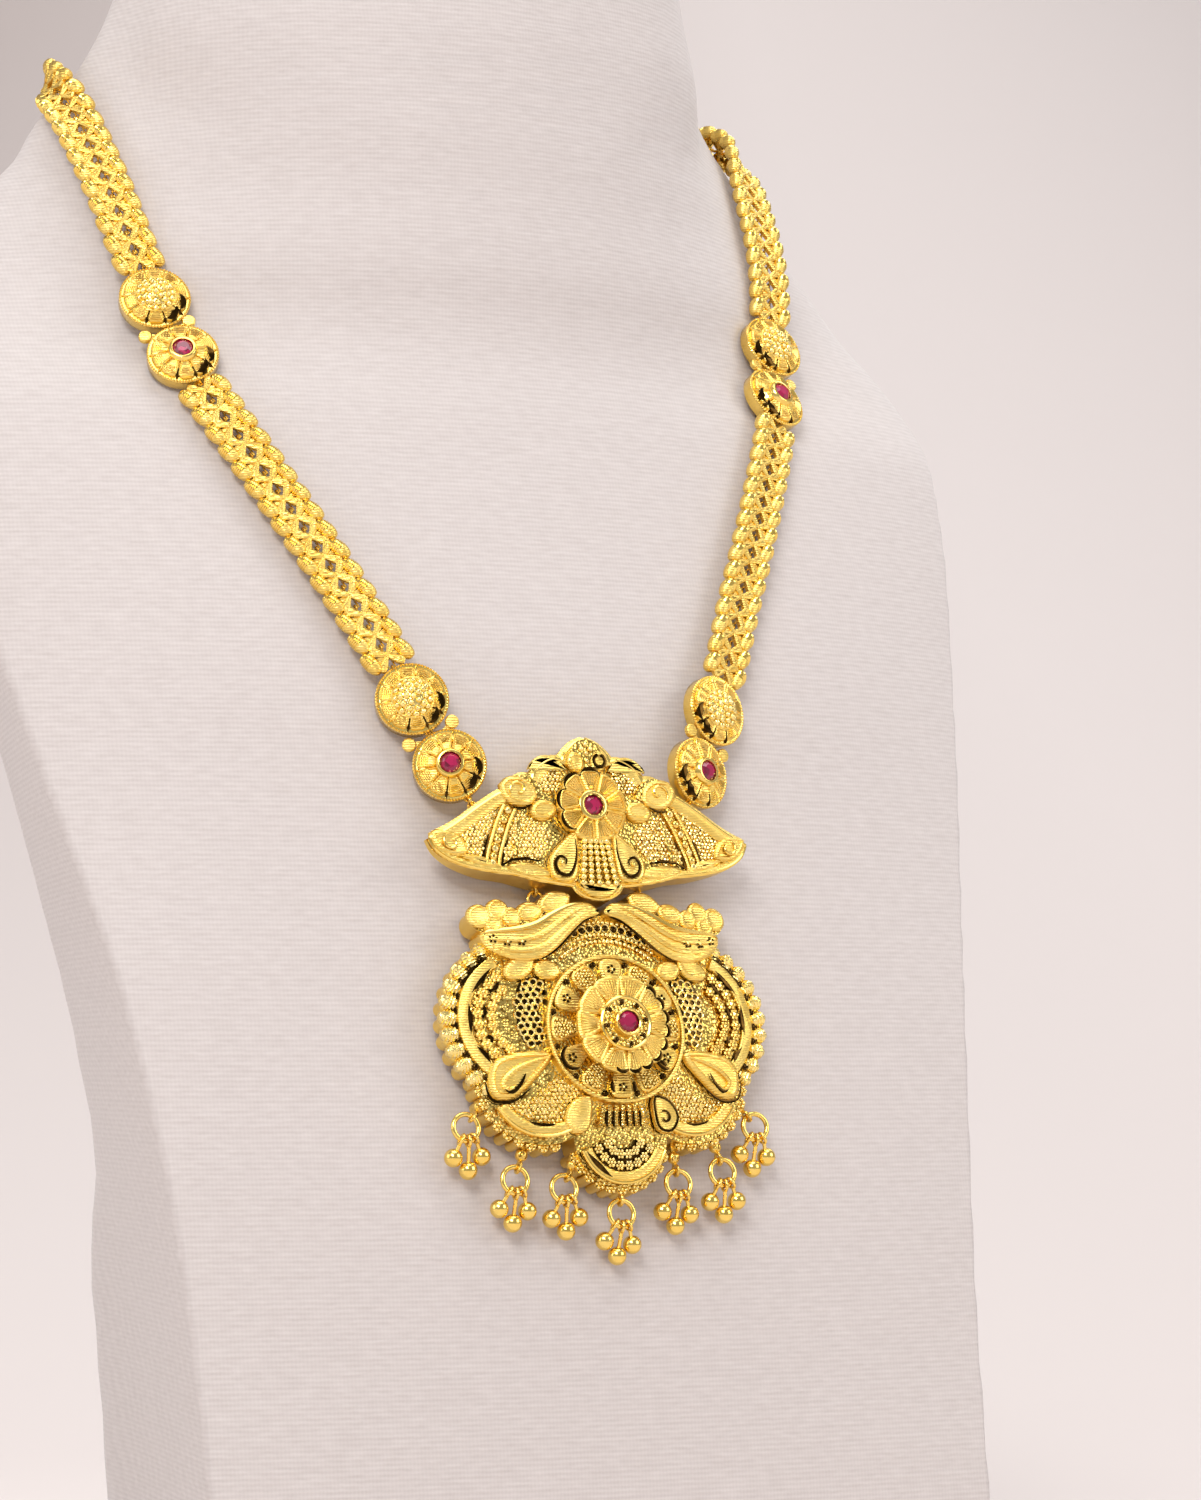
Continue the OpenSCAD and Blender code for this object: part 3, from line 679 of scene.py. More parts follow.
class Finish(Enum):
    """The finishes, each built at its first use."""

    SATIN = SatinGold()
    POLISHED = PolishedGold()
    GLINT = GlintGold()
    BODY = BodyGold()
    # Near-black painted shade and dark reflection for cuts, holes and gaps.
    CUT = CutGold()
    STONE = RedStone()
    LINEN = Linen()
    PAINT = PalePaint()

    def material(self) -> bpy.types.Material:
        """Gives this finish's material."""
        return bpy.data.materials.get(self.value.name) or self.value.material()


CHASING = (Finish.SATIN, Finish.POLISHED, Finish.GLINT, Finish.CUT)


# Mesh building

class Shape:
    """A small form in millimetres that workpieces take copies of."""

    def __init__(self) -> None:
        """Starts with nothing."""
        self.bm = bmesh.new()

    def _ready(self) -> "Shape":
        """Puts normals and numbers in order.

        Returns:
            This shape.
        """
        bmesh.ops.recalc_face_normals(self.bm, faces=self.bm.faces[:])
        self.bm.verts.index_update()
        return self

    def _spin(self, geom: list, steps: int) -> None:
        """Spins some vertices and edges once round the Z axis."""
        bmesh.ops.spin(self.bm, geom=geom, cent=(0, 0, 0), axis=(0, 0, 1), angle=2 * math.pi, steps=steps,
                       use_merge=True)

    @classmethod
    def bead(cls, radius: float, level: int = 1, squash: float = 1.0) -> "Shape":
        """Makes a ball round the origin, low or tall by its squash.

        Args:
            radius: its radius.
            level: how often it is divided.
            squash: its height as a share of its width.

        Returns:
            The ball.
        """
        made = cls()
        bmesh.ops.create_icosphere(made.bm, subdivisions=level, radius=radius, matrix=scaled(1, 1, squash))
        return made._ready()

    @classmethod
    def block(cls, low: Sequence[float], high: Sequence[float]) -> "Shape":
        """Makes a rectangular block between two corners.

        Args:
            low: the lowest corner.
            high: the highest corner.

        Returns:
            The block.
        """
        made = cls()
        middle = [(a + b) / 2 for a, b in zip(low, high)]
        size = [b - a for a, b in zip(low, high)]
        bmesh.ops.create_cube(made.bm, size=1, matrix=moved(*middle) @ scaled(*size))
        return made._ready()

    @classmethod
    def turned(cls, profile: Sequence[Point], steps: int = 24) -> "Shape":
        """Spins a profile of radius and height round the Z axis.

        Args:
            profile: its points.
            steps: stretches round the axis.

        Returns:
            The form.
        """
        made = cls()
        verts = [made.bm.verts.new((r, 0, z)) for r, z in profile]
        edges = [made.bm.edges.new(pair) for pair in zip(verts, verts[1:])]
        made._spin(verts + edges, steps)
        bmesh.ops.remove_doubles(made.bm, verts=made.bm.verts[:], dist=WELD)
        return made._ready()

    @classmethod
    def ring(cls, radius: float, wire: float, steps: int = 16, sides: int = 6) -> "Shape":
        """Makes a closed ring of round wire round the Z axis.

        Args:
            radius: from the axis to the wire's middle.
            wire: the wire's radius.
            steps: stretches round the ring.
            sides: sides of the wire's section.

        Returns:
            The ring.
        """
        made = cls()
        bmesh.ops.create_circle(made.bm, cap_ends=False, segments=sides, radius=wire,
                                matrix=moved(radius, 0) @ spun(90, "X"))
        made._spin(made.bm.verts[:] + made.bm.edges[:], steps)
        return made._ready()

    @classmethod
    def plate(cls, outline: Sequence[Point], foot: float, height: float, edge: float = 0.5, rings: int = 2,
              hollow: float = 0.0, skirt: float = 0.6) -> "Shape":
        """Makes a soft-edged plate over an outline.

        Args:
            outline: its edge.
            foot: the height of its edge.
            height: how much higher its middle is.
            edge: how far the rounding reaches inwards.
            rings: steps of the rounding.
            hollow: how far the middle sinks again.
            skirt: how far its wall goes down.

        Returns:
            The plate.
        """
        made = cls()
        top = made.bm.faces.new([made.bm.verts.new((u, v, foot)) for u, v in anticlockwise(outline)])
        wall = bmesh.ops.extrude_edge_only(made.bm, edges=top.edges[:])
        low = [g for g in wall["geom"] if isinstance(g, bmesh.types.BMVert)]
        bmesh.ops.translate(made.bm, verts=low, vec=(0, 0, -skirt))
        top.normal_update()
        quarter = math.pi / 2
        steps = [height * (math.sin(quarter * (i + 1) / rings) - math.sin(quarter * i / rings))
                 for i in range(rings)] + ([-hollow] if hollow else [])
        for rise in steps:
            bmesh.ops.inset_individual(made.bm, faces=[top], thickness=edge / rings, depth=rise,
                                       use_even_offset=False)
        return made._ready()

    @classmethod
    def rod(cls, path: Sequence[Sequence[float]], radius: float, height: float = 0.0, sides: int = 6,
            taper: bool = False, squash: float = 1.0) -> "Shape":
        """Makes a wire along a path.

        Args:
            path: its points, flat or in space.
            radius: the wire's radius.
            height: how much higher it lies.
            sides: sides of its section.
            taper: whether it thins out toward its ends.
            squash: its height as a share of its width.

        Returns:
            The wire.
        """
        made = cls()
        spots = [Vector((p[0], p[1], (p[2] if len(p) > 2 else 0) + height)) for p in path]
        places = []
        for i, spot in enumerate(spots):
            ahead = (spots[min(i + 1, len(spots) - 1)] - spots[max(i - 1, 0)]).normalized()
            side = Vector((0, 0, 1)).cross(ahead)
            side = side.normalized() if side.length > 0.001 else Vector((1, 0, 0))
            up = ahead.cross(side)
            swell = math.sin(math.pi * (i + 0.3) / (len(spots) - 0.4)) ** 0.6
            share = max(THINNEST, swell) if taper else 1.0
            turn = Matrix((side, up, ahead)).transposed().to_4x4()
            places.append(Matrix.Translation(spot) @ turn @ scaled(share, share * squash, 1))
        bmesh.ops.create_circle(made.bm, cap_ends=False, segments=sides, radius=radius, matrix=places[0])
        edges = made.bm.edges[:]
        for before, place in zip(places, places[1:]):
            out = bmesh.ops.extrude_edge_only(made.bm, edges=edges)["geom"]
            verts = [g for g in out if isinstance(g, bmesh.types.BMVert)]
            fresh = set(verts)
            edges = [g for g in out if isinstance(g, bmesh.types.BMEdge) and set(g.verts) <= fresh]
            bmesh.ops.transform(made.bm, verts=verts, matrix=place @ before.inverted())
        bmesh.ops.holes_fill(made.bm, edges=made.bm.edges[:], sides=sides)
        return made._ready()


class Workpiece:
    """A mesh in the making, in millimetres, whose finishes are chosen shape by shape."""

    def __init__(self, name: str, *finishes: Finish, lift: Lift | None = None) -> None:
        """Starts an empty mesh.

        Args:
            name: the piece's name.
            finishes: its material slots, in order.
            lift: the height of the ground under a point.
        """
        self.name = name
        self.finishes = finishes
        self.lift = lift
        self.bm = bmesh.new()

    def add(self, shape: Shape, finish: Finish, place: Matrix = HERE, draped: bool = True) -> None:
        """Takes a copy of a shape.

        Args:
            shape: the shape.
            finish: its finish.
            place: where it goes.
            draped: whether it follows the ground, where there is one.
        """
        index = self.finishes.index(finish)
        spots = [place @ v.co for v in shape.bm.verts]
        if draped and self.lift:
            spots = [Vector((p.x, p.y, p.z + self.lift(p.x, p.y))) for p in spots]
        verts = [self.bm.verts.new(p) for p in spots]
        turned = place.determinant() < 0
        for face in shape.bm.faces:
            ring = [verts[v.index] for v in face.verts]
            self.bm.faces.new(ring[::-1] if turned else ring).material_index = index

    def pair(self, shape: Shape, finish: Finish, place: Matrix = HERE, draped: bool = True) -> None:
        """Takes two copies of a shape, one of them mirrored across the middle line."""
        self.add(shape, finish, place, draped)
        self.add(shape, finish, FLIP @ place, draped)

    def grains(self, spots: Iterable[Point], radius: float, finish: Finish, height: float,
               draped: bool = True, both: bool = False) -> None:
        """Sets a small bead at each spot.

        Args:
            spots: where they sit.
            radius: their radius.
            finish: their finish.
            height: their middles' height.
            draped: whether they follow the ground.
            both: whether the other half gets them too.
        """
        rng = random.Random(SEED)
        grain = Shape.bead(radius)
        for u, v in spots:
            size = rng.uniform(*GRAIN_SIZES)
            place = moved(u, v, height + rng.uniform(-GRAIN_STRAY, GRAIN_STRAY)) @ scaled(size, size, size)
            (self.pair if both else self.add)(grain, finish, place, draped)

    def field(self, outline: Sequence[Point], free: Sequence[Sequence[Point]] = (), pitch: float = 0.74,
              height: float = 0.12) -> None:
        """Covers an outline and its mirror image with small glinting grains.

        Args:
            outline: where they go.
            free: outlines that stay empty.
            pitch: the distance between them.
            height: their middles' height over the ground.
        """
        self.grains(scattered(outline, pitch, free), pitch * 0.55, Finish.GLINT, height, both=True)

    def dark_line(self, path: Sequence[Point], width: float, height: float, both: bool = True,
                  taper: bool = True) -> None:
        """Cuts a line along a path, painted dark as its shade.

        Args:
            path: its points.
            width: its width.
            height: its middle's height.
            both: whether the other half gets it too.
            taper: whether it thins out toward its ends.
        """
        line = Shape.rod(path, width / 2, height, 5, taper=taper, squash=0.3)
        (self.pair if both else self.add)(line, Finish.CUT)

    def hatching(self, at: Point, turn: float, start: float, end: float, shrink: float, spread: float,
                 height: float) -> None:
        """Raises seven fine lines that fan out over a petal.

        Args:
            at: the flower's middle.
            turn: the petal's direction, in degrees.
            start: how far out the lines begin.
            end: how far out the middle line ends.
            shrink: how much sooner each next line ends.
            spread: the angle between the lines' ends, in degrees.
            height: their height.
        """
        for k in range(-3, 4):
            line = polar(at, start, turn + 3 * k), polar(at, end - shrink * abs(k), turn + spread * k)
            self.add(Shape.rod(line, HATCH_R, height, 4), Finish.POLISHED)

    def finished(self, place: Matrix = HERE, replaces: Sequence[str] = ()) -> None:
        """Turns the mesh into a gold piece of the scene.

        Args:
            place: where its millimetres lie.
            replaces: the nodes that it stands for.
        """
        bmesh.ops.transform(self.bm, verts=self.bm.verts[:], matrix=Matrix.Scale(MM, 4) @ place)
        limit = math.radians(ROUND_BELOW)
        for face in self.bm.faces:
            face.smooth = True
        for edge in self.bm.edges:
            edge.smooth = len(edge.link_faces) == 2 and edge.calc_face_angle(0) < limit
        made = placed(self.name, self.bm, self.finishes)
        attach(made, "root")
        if replaces:
            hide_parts(*replaces)


def linked(name: str, data: bpy.types.ID) -> bpy.types.Object:
    """Puts an object with some data into the scene.

    Args:
        name: the object's name.
        data: its mesh, light or camera.

    Returns:
        The object.
    """
    made = bpy.data.objects.new(name, data)
    bpy.context.collection.objects.link(made)
    return made


def placed(name: str, bm: bmesh.types.BMesh, finishes: Iterable[Finish]) -> bpy.types.Object:
    """Puts a finished mesh into the scene.

    Args:
        name: the piece's name.
        bm: its mesh, which is used up.
        finishes: its material slots, in order.

    Returns:
        The object.
    """
    mesh = bpy.data.meshes.new(name)
    bm.to_mesh(mesh)
    bm.free()
    for finish in finishes:
        mesh.materials.append(finish.material())
    log.info("%s: %d faces", name, len(mesh.polygons))
    return linked(name, mesh)


def dress_node(name: str, finish: Finish) -> None:
    """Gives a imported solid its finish."""
    for slot in bpy.data.objects[name].material_slots:
        slot.material = finish.material()


# The bust

@dataclass
class NeckBust:
    """The bust under the necklace, covered with cloth."""

    node: str = "neck_bust"
    levels: int = 1
    weld: float = 0.00001
    crease_over: float = 50
    crease: float = 0.9

    def build(self) -> None:
        """Covers the bust: its solid's own form, rounded between its corners."""
        bm = bmesh.new()
        bm.from_mesh(bpy.data.objects[self.node].data)
        bmesh.ops.remove_doubles(bm, verts=bm.verts[:], dist=self.weld)
        bmesh.ops.recalc_face_normals(bm, faces=bm.faces[:])
        crease = bm.edges.layers.float.new("crease_edge")
        for face in bm.faces:
            face.smooth = True
        for edge in bm.edges:
            if edge.calc_face_angle(0) > math.radians(self.crease_over):
                edge[crease] = self.crease
        cloth = placed("bust_cloth", bm, [Finish.LINEN])
        rounding = cloth.modifiers.new("rounding", "SUBSURF")
        rounding.levels = rounding.render_levels = self.levels
        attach(cloth, "root")
        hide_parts(self.node)


# The band

@dataclass
class Band:
    """The hinge line of the band on the right side, from the upper plaque round to the nape."""

    disc_d: float = 13.6
    disc_gap: float = 0.5
    disc_row: int = 8
    lower_links: int = 15
    link_pitch: float = 4.48
    clasp_len: float = 9
    samples: int = 8
    rows: tuple[tuple[float, float, float, float], ...] = (
        (22.2, -50.5, 166.4, 14), (25.2, -48.4, 172.4, 14), (30.6, -44.0, 184.2, 14), (34.6, -41.0, 192.9, 9),
        (40.6, -34.8, 205.7, 7), (46.9, -28.6, 218.1, 7), (53.6, -21.2, 231.2, 7),
        (59.9, -13.4, 243.6, 7), (62.8, -7.8, 250.4, 7), (65.6, -1.4, 261.9, 7),
        (67.2, 2.4, 268.9, 7), (69.2, 6.4, 277.1, 7), (70.8, 12.0, 286.3, 8),
        (72.1, 18.6, 294.8, 10), (73.3, 25.2, 302.6, 18), (73.9, 31.6, 308.3, 42),
        (72.6, 41.0, 312.4, 72), (67.2, 50.8, 313.2, 104), (58.9, 58.4, 312.3, 128),
        (47.5, 64.6, 311.2, 146), (34.0, 69.0, 310.6, 160), (18.0, 71.6, 310.2, 171),
        (0, 72.6, 310, 180))

    def __post_init__(self) -> None:
        """Measures the line and shares out its links."""
        count = self.samples * (len(self.rows) - 1)
        points = [Vector(smooth_at(self.rows, i / self.samples)[:3]) for i in range(count + 1)]
        self.lengths = [0.0]
        for a, b in zip(points, points[1:]):
            self.lengths.append(self.lengths[-1] + (b - a).length)
        self.span = self.disc_d + self.disc_gap
        self.low_start = 2 * self.span
        self.low_end = self.lengths[self.samples * self.disc_row] - self.span / 2
        self.low_pitch = (self.low_end - self.low_start) / self.lower_links
        self.high_start = self.low_end + 2 * self.span
        self.high_end = self.lengths[-1] - self.clasp_len / 2
        self.high_links = round((self.high_end - self.high_start) / self.link_pitch)
        self.high_pitch = (self.high_end - self.high_start) / self.high_links

    def at(self, s: float) -> tuple[float, ...]:
        """Gives the line's place and heading at a length along it.

        Args:
            s: the length.

        Returns:
            Across, back, up, and the heading in degrees.
        """
        lengths = self.lengths
        i = next((k for k in range(len(lengths) - 2) if lengths[k + 1] > s), len(lengths) - 2)
        return smooth_at(self.rows, (i + (s - lengths[i]) / (lengths[i + 1] - lengths[i])) / self.samples)

    def place(self, start: float, end: float) -> Matrix:
        """Gives the place of a piece whose hinges are at two lengths along the line.

        Args:
            start: where the lower hinge is.
            end: where the upper hinge is.

        Returns:
            The place of the piece's middle.
        """
        a, b = self.at(start), self.at(end)
        p, q = Vector(a[:3]), Vector(b[:3])
        along = (q - p).normalized()
        heading = math.radians((a[3] + b[3]) / 2)
        face = Vector((math.sin(heading), -math.cos(heading), 0))
        out = (face - face.dot(along) * along).normalized()
        across = along.cross(out)
        turn = Matrix((across, along, out)).transposed().to_4x4()
        return Matrix.Translation((p + q) / 2) @ turn


# The hinges' eyes, pins and arms, and the height of the links' plates, in millimetres.
EYE_R, EYE_WIRE, PIN_R, ARM_X, ARM_W, PLATE_Z = 0.55, 0.2, 0.2, 0.6, 0.3, 0.65


@dataclass
class Hinge:
    """The eye and the pin at the two ends of a piece of the band."""

    half: float
    eye_back: float
    arm_back: float
    post_top: float = 1.1
    post_t: float = 0.6
    stem_low: float = -0.15

    def parts(self) -> list[Shape]:
        """Makes the eye with its stem, and the pin with its arms.

        Returns:
            The parts.
        """
        h = self.half
        eye = Shape.ring(EYE_R, EYE_WIRE, 10, 5)
        bmesh.ops.transform(eye.bm, verts=eye.bm.verts[:], matrix=moved(0, h) @ spun(90, "Y"))
        pin = Shape.rod(((-ARM_X, -h, 0), (ARM_X, -h, 0)), PIN_R, sides=6)
        back = h - self.eye_back
        parts = [eye, pin, Shape.block((-EYE_WIRE, back, self.stem_low), (EYE_WIRE, h - 0.5, 0.2)),
                 Shape.block((-EYE_WIRE, back, self.stem_low), (EYE_WIRE, back + self.post_t, self.post_top))]
        front = self.arm_back - h
        for x in (-ARM_X, ARM_X):
            low, high = x - ARM_W / 2, x + ARM_W / 2
            parts.append(Shape.block((low, -h - PIN_R, -PIN_R), (high, front, PIN_R)))
            parts.append(Shape.block((low, front - self.post_t, -PIN_R), (high, front, self.post_top)))
        return parts


@dataclass
class Link:
    """One link: four grooved petals in a cross between two edge beads."""

    pitch: float
    bead_x: float = 3.38
    bead_d: float = 2.95
    petal_w: float = 1.75
    petal_t: float = 0.9
    bead_turn: float = -17

    def petal(self, turn: float) -> Shape:
        """Makes one petal, with a soft groove down its middle.

        Args:
            turn: its direction, in degrees.

        Returns:
            The petal.
        """
        reach = math.hypot(self.pitch - 0.3, 2 * (self.bead_x - 1.0)) / 2
        leaf = petal((0, 0), turn, 0.05, reach * 1.06, self.petal_w, 3)
        return Shape.plate(leaf, PLATE_Z + self.petal_t - 0.2, 0.26, 0.42, 2, 0.15, 0.75)

    def bead(self) -> tuple[Shape, Shape]:
        """Makes an edge bead in two halves: one smooth, one ribbed.

        Returns:
            The smooth half and the ribbed half.
        """
        length = self.pitch * 1.06

        def spot(t: float, rib: float) -> Point:
            """Gives a point of the bead's section, a share of the way along it."""
            return (max(0.05, (self.bead_d / 2 + rib) * math.sin(math.pi * t) ** 0.3), (t - 0.5) * length)

        smooth = [spot(t, 0) for t in (0, 0.015, 0.05, 0.12, 0.26, 0.42)]
        ribbed = [spot(0.42 + 0.047 * i, 0.07 if i % 2 else -0.09) for i in range(1, 12)] + [spot(0.975, 0)]
        return Shape.turned(smooth, 12), Shape.turned([spot(0.42, 0)] + ribbed + [spot(1, 0)], 12)

    def parts(self) -> list[tuple[Shape, Finish, Matrix]]:
        """Makes every part of the link, with its finish and place.

        Returns:
            The parts, each with its finish and its place on the link.
        """
        tilt = math.degrees(math.atan2(self.pitch - 0.3, 2 * (self.bead_x - 1.0)))
        parts = [(self.petal(turn), Finish.SATIN, HERE) for turn in (tilt, 180 - tilt, 180 + tilt, -tilt)]
        smooth, ribbed = self.bead()
        for x in (-self.bead_x, self.bead_x):
            place = moved(x, 0, PLATE_Z + 0.2) @ spun(self.bead_turn) @ spun(-90, "X")
            parts += [(smooth, Finish.SATIN, place), (ribbed, Finish.POLISHED, place)]
        bar = Shape.block((-self.bead_x, -0.4, PLATE_Z), (self.bead_x, 0.4, PLATE_Z + 0.45))
        parts.append((bar, Finish.SATIN, HERE))
        hinge = Hinge(self.pitch / 2, 1.75, 1.55)
        return parts + [(part, Finish.POLISHED, HERE) for part in hinge.parts()]


@dataclass
class LinkBand:
    """A run of links between round plaques."""

    name: str
    band: Band
    side: Side
    start: float
    pitch: float
    count: int

    def build(self) -> None:
        """Lays the links along the band's line."""
        work = Workpiece(f"{self.name}_links_{self.side.word}", Finish.SATIN, Finish.POLISHED)
        parts = Link(self.pitch).parts()
        for i in range(self.count):
            start, end = (self.start + k * self.pitch for k in (i, i + 1))
            place = self.side.mirror @ self.band.place(start, end)
            for shape, finish, own in parts:
                work.add(shape, finish, place @ own)
        work.finished(replaces=[f"{self.name}_{self.side.word}"])


@dataclass
class RoundPlaque:
    """A low domed plaque with ten chased petals round a stone or a nugget of grains."""

    node: str
    band: Band
    side: Side
    start: float
    stone: bool
    # Petals and flutes on the lower side, painted dark as shade.
    notched: tuple[int, ...] = (6, 7)
    dark_flutes: tuple[int, ...] = (6, 7, 8)
    petals: int = 10
    radius: float = 6.8
    foot: float = -0.7
    rim_top: float = 1.7
    dome_top: float = 2.5
    girdle: float = 3.4
    stone_r: float = 1.9
    ribs: int = 72
    grain_r: float = 0.74
    nugget: tuple[tuple[float, int, float], ...] = (
        (0, 1, 3.8), (1.25, 5, 3.7), (2.35, 10, 3.35), (3.2, 15, 2.8))

    def dome(self, u: float, v: float) -> float:
        """Gives the height of the domed face under a point.

        Args:
            u: how far across the point is.
            v: how far up it is.

        Returns:
            The height.
        """
        reach = self.radius - 0.8
        rise = self.dome_top - self.rim_top
        r = (reach * reach + rise * rise) / (2 * rise)
        return self.dome_top - r + math.sqrt(max(0.0, r * r - u * u - v * v))

    def shell(self) -> Shape:
        """Makes the body: an open back, a wall, a rim and the domed face.

        Returns:
            The body.
        """
        r = self.radius
        face = [(x, self.dome(x, 0)) for x in (r - 0.9, r - 2.2, r - 3.6, 1.6, 0.01)]
        wall = [(0.01, 0.5), (r - 1, 0.5), (r - 1, self.foot), (r - 0.1, self.foot), (r, self.foot + 0.15),
                (r, self.rim_top - 0.2), (r - 0.25, self.rim_top + 0.05), (r - 0.7, self.rim_top)]
        return Shape.turned(wall + face, 48)

    def build(self) -> None:
        """Makes the plaque and sets it on the band."""
        work = Workpiece(f"{self.node}_{self.side.word}_chased", *CHASING, lift=self.dome)
        work.add(self.shell(), Finish.POLISHED, draped=False)
        self._rim(work)
        self._petals(work)
        self._middle(work)
        self._joints(work)
        place = self.side.mirror @ self.band.place(self.start, self.start + self.band.span)
        work.finished(place, replaces=[f"{self.node}_{self.side.word}"])

    def _rim(self, work: Workpiece) -> None:
        """Mills the rim.

        Args:
            work: the mesh in the making.
        """
        rib = Shape.bead(0.3, 1, 1.6)
        at = moved(self.radius - 0.22, 0, self.rim_top - 0.2)
        for i in range(self.ribs):
            work.add(rib, Finish.SATIN, spun(360 / self.ribs * i) @ at, draped=False)

    def _petals(self, work: Workpiece) -> None:
        """Raises the satin petals, and cuts the flutes between them, the lower ones painted dark as shade.

        Args:
            work: the mesh in the making.
        """
        step = 360 / self.petals
        leaf = Shape.plate(petal((0, 0), 0, 2.2, 6.0, 3.15, 4), 0.36, 0.28, 0.3, 2, 0.16, 0.55)
        flute = Shape.plate(lens((5.2, 0), 0, 2.4, 0.75, 5), 0.3, 0.26, 0.3, 2, 0, 0.6)
        end_shade = Shape.plate(crescent((4.25, 0), 1.85, 1.35, -95, 55, 8), 0.66, 0.03, 0.1, 1)
        hatch = [Shape.rod(arc((0, 0), 4.2 + 0.36 * k, -9 - k, 9 + k, 4), 0.1, 0.54, 4) for k in range(5)]
        for i in range(self.petals):
            work.add(leaf, Finish.SATIN, spun(step * i))
            # Flutes on the lower side are painted dark as shade.
            work.add(flute, Finish.CUT if i in self.dark_flutes else Finish.POLISHED, spun(step * (i + 0.5)))
            for line in hatch:
                work.add(line, Finish.POLISHED, spun(step * i))
            # A dark crescent painted as shade on the lower petals.
            if i in self.notched:
                work.add(end_shade, Finish.CUT, spun(step * i))

    def _middle(self, work: Workpiece) -> None:
        """Adds the stone's collar, or the nugget of grains.

        Args:
            work: the mesh in the making.
        """
        if self.stone:
            r, top = self.stone_r, self.girdle + 0.35
            collar = [(r + 1.05, self.dome_top - 0.2), (r + 0.95, self.dome_top + 0.4), (r + 0.6, top - 0.1),
                      (r + 0.45, top), (r + 0.12, top), (r + 0.03, top - 0.15), (r + 0.03, self.girdle - 1.4),
                      (0.01, self.girdle - 1.5)]
            work.add(Shape.turned(collar, 32), Finish.POLISHED, draped=False)
            return
        work.add(Shape.ring(3.75, 0.3, 36, 6), Finish.SATIN, moved(0, 0, self.dome_top + 0.1), draped=False)
        base = [(3.5, 2.3), (2.9, 3.05), (1.6, 3.55), (0.01, 3.7)]
        work.add(Shape.turned(base, 24), Finish.GLINT, draped=False)
        for reach, count, height in self.nugget:
            spots = [polar((0, 0), reach, 360 * (i + 0.3 * reach) / count) for i in range(count)]
            work.grains(spots, self.grain_r, Finish.GLINT, height, draped=False)

    def _joints(self, work: Workpiece) -> None:
        """Adds the hinge at each end, and the two flat lugs of a stone's plaque.

        Args:
            work: the mesh in the making.
        """
        for part in Hinge(self.band.span / 2, 2.6, 2.5, 1.0).parts():
            work.add(part, Finish.POLISHED, draped=False)
        if self.stone:
            at = moved(4.5, self.radius + 0.15)
            lug = [(0.01, 0.35), (1.15, 0.35), (1.3, 0.5), (1.3, 1.2), (1.1, 1.4), (0.01, 1.45)]
            work.pair(Shape.turned(lug, 18), Finish.SATIN, at, draped=False)
            arm = Shape.block((0, -0.4, 0.4), (3.4, 0.4, 1.0))
            work.pair(arm, Finish.SATIN, at @ spun(-160), draped=False)


# The hanging pieces

@dataclass
class LeaningPlane:
    """The plane that the two hanging pieces lie on: across, up and out."""

    y: float = -60.2
    z: float = 130.0
    lean: float = 13.2

    @property
    def place(self) -> Matrix:
        """The plane's place."""
        return moved(0, self.y, self.z) @ spun(90 - self.lean, "X")


@dataclass(frozen=True)
class Leaf:
    """A soft satin leaf: its place and size, and how its face swells."""

    at: Point
    turn: float
    length: float
    width: float
    foot: float
    height: float
    edge: float = 0.7
    rings: int = 3
    hollow: float = 0.2
    steps: int = 10
    swell: float = 0.5

    def lay(self, work: Workpiece) -> None:
        """Lays the leaf on both halves of a workpiece.

        Args:
            work: the mesh in the making.
        """
        outline = lens(self.at, self.turn, self.length, self.width, self.steps, self.swell)
        leaf = Shape.plate(outline, self.foot, self.height, self.edge, self.rings, self.hollow)
        work.pair(leaf, Finish.SATIN)


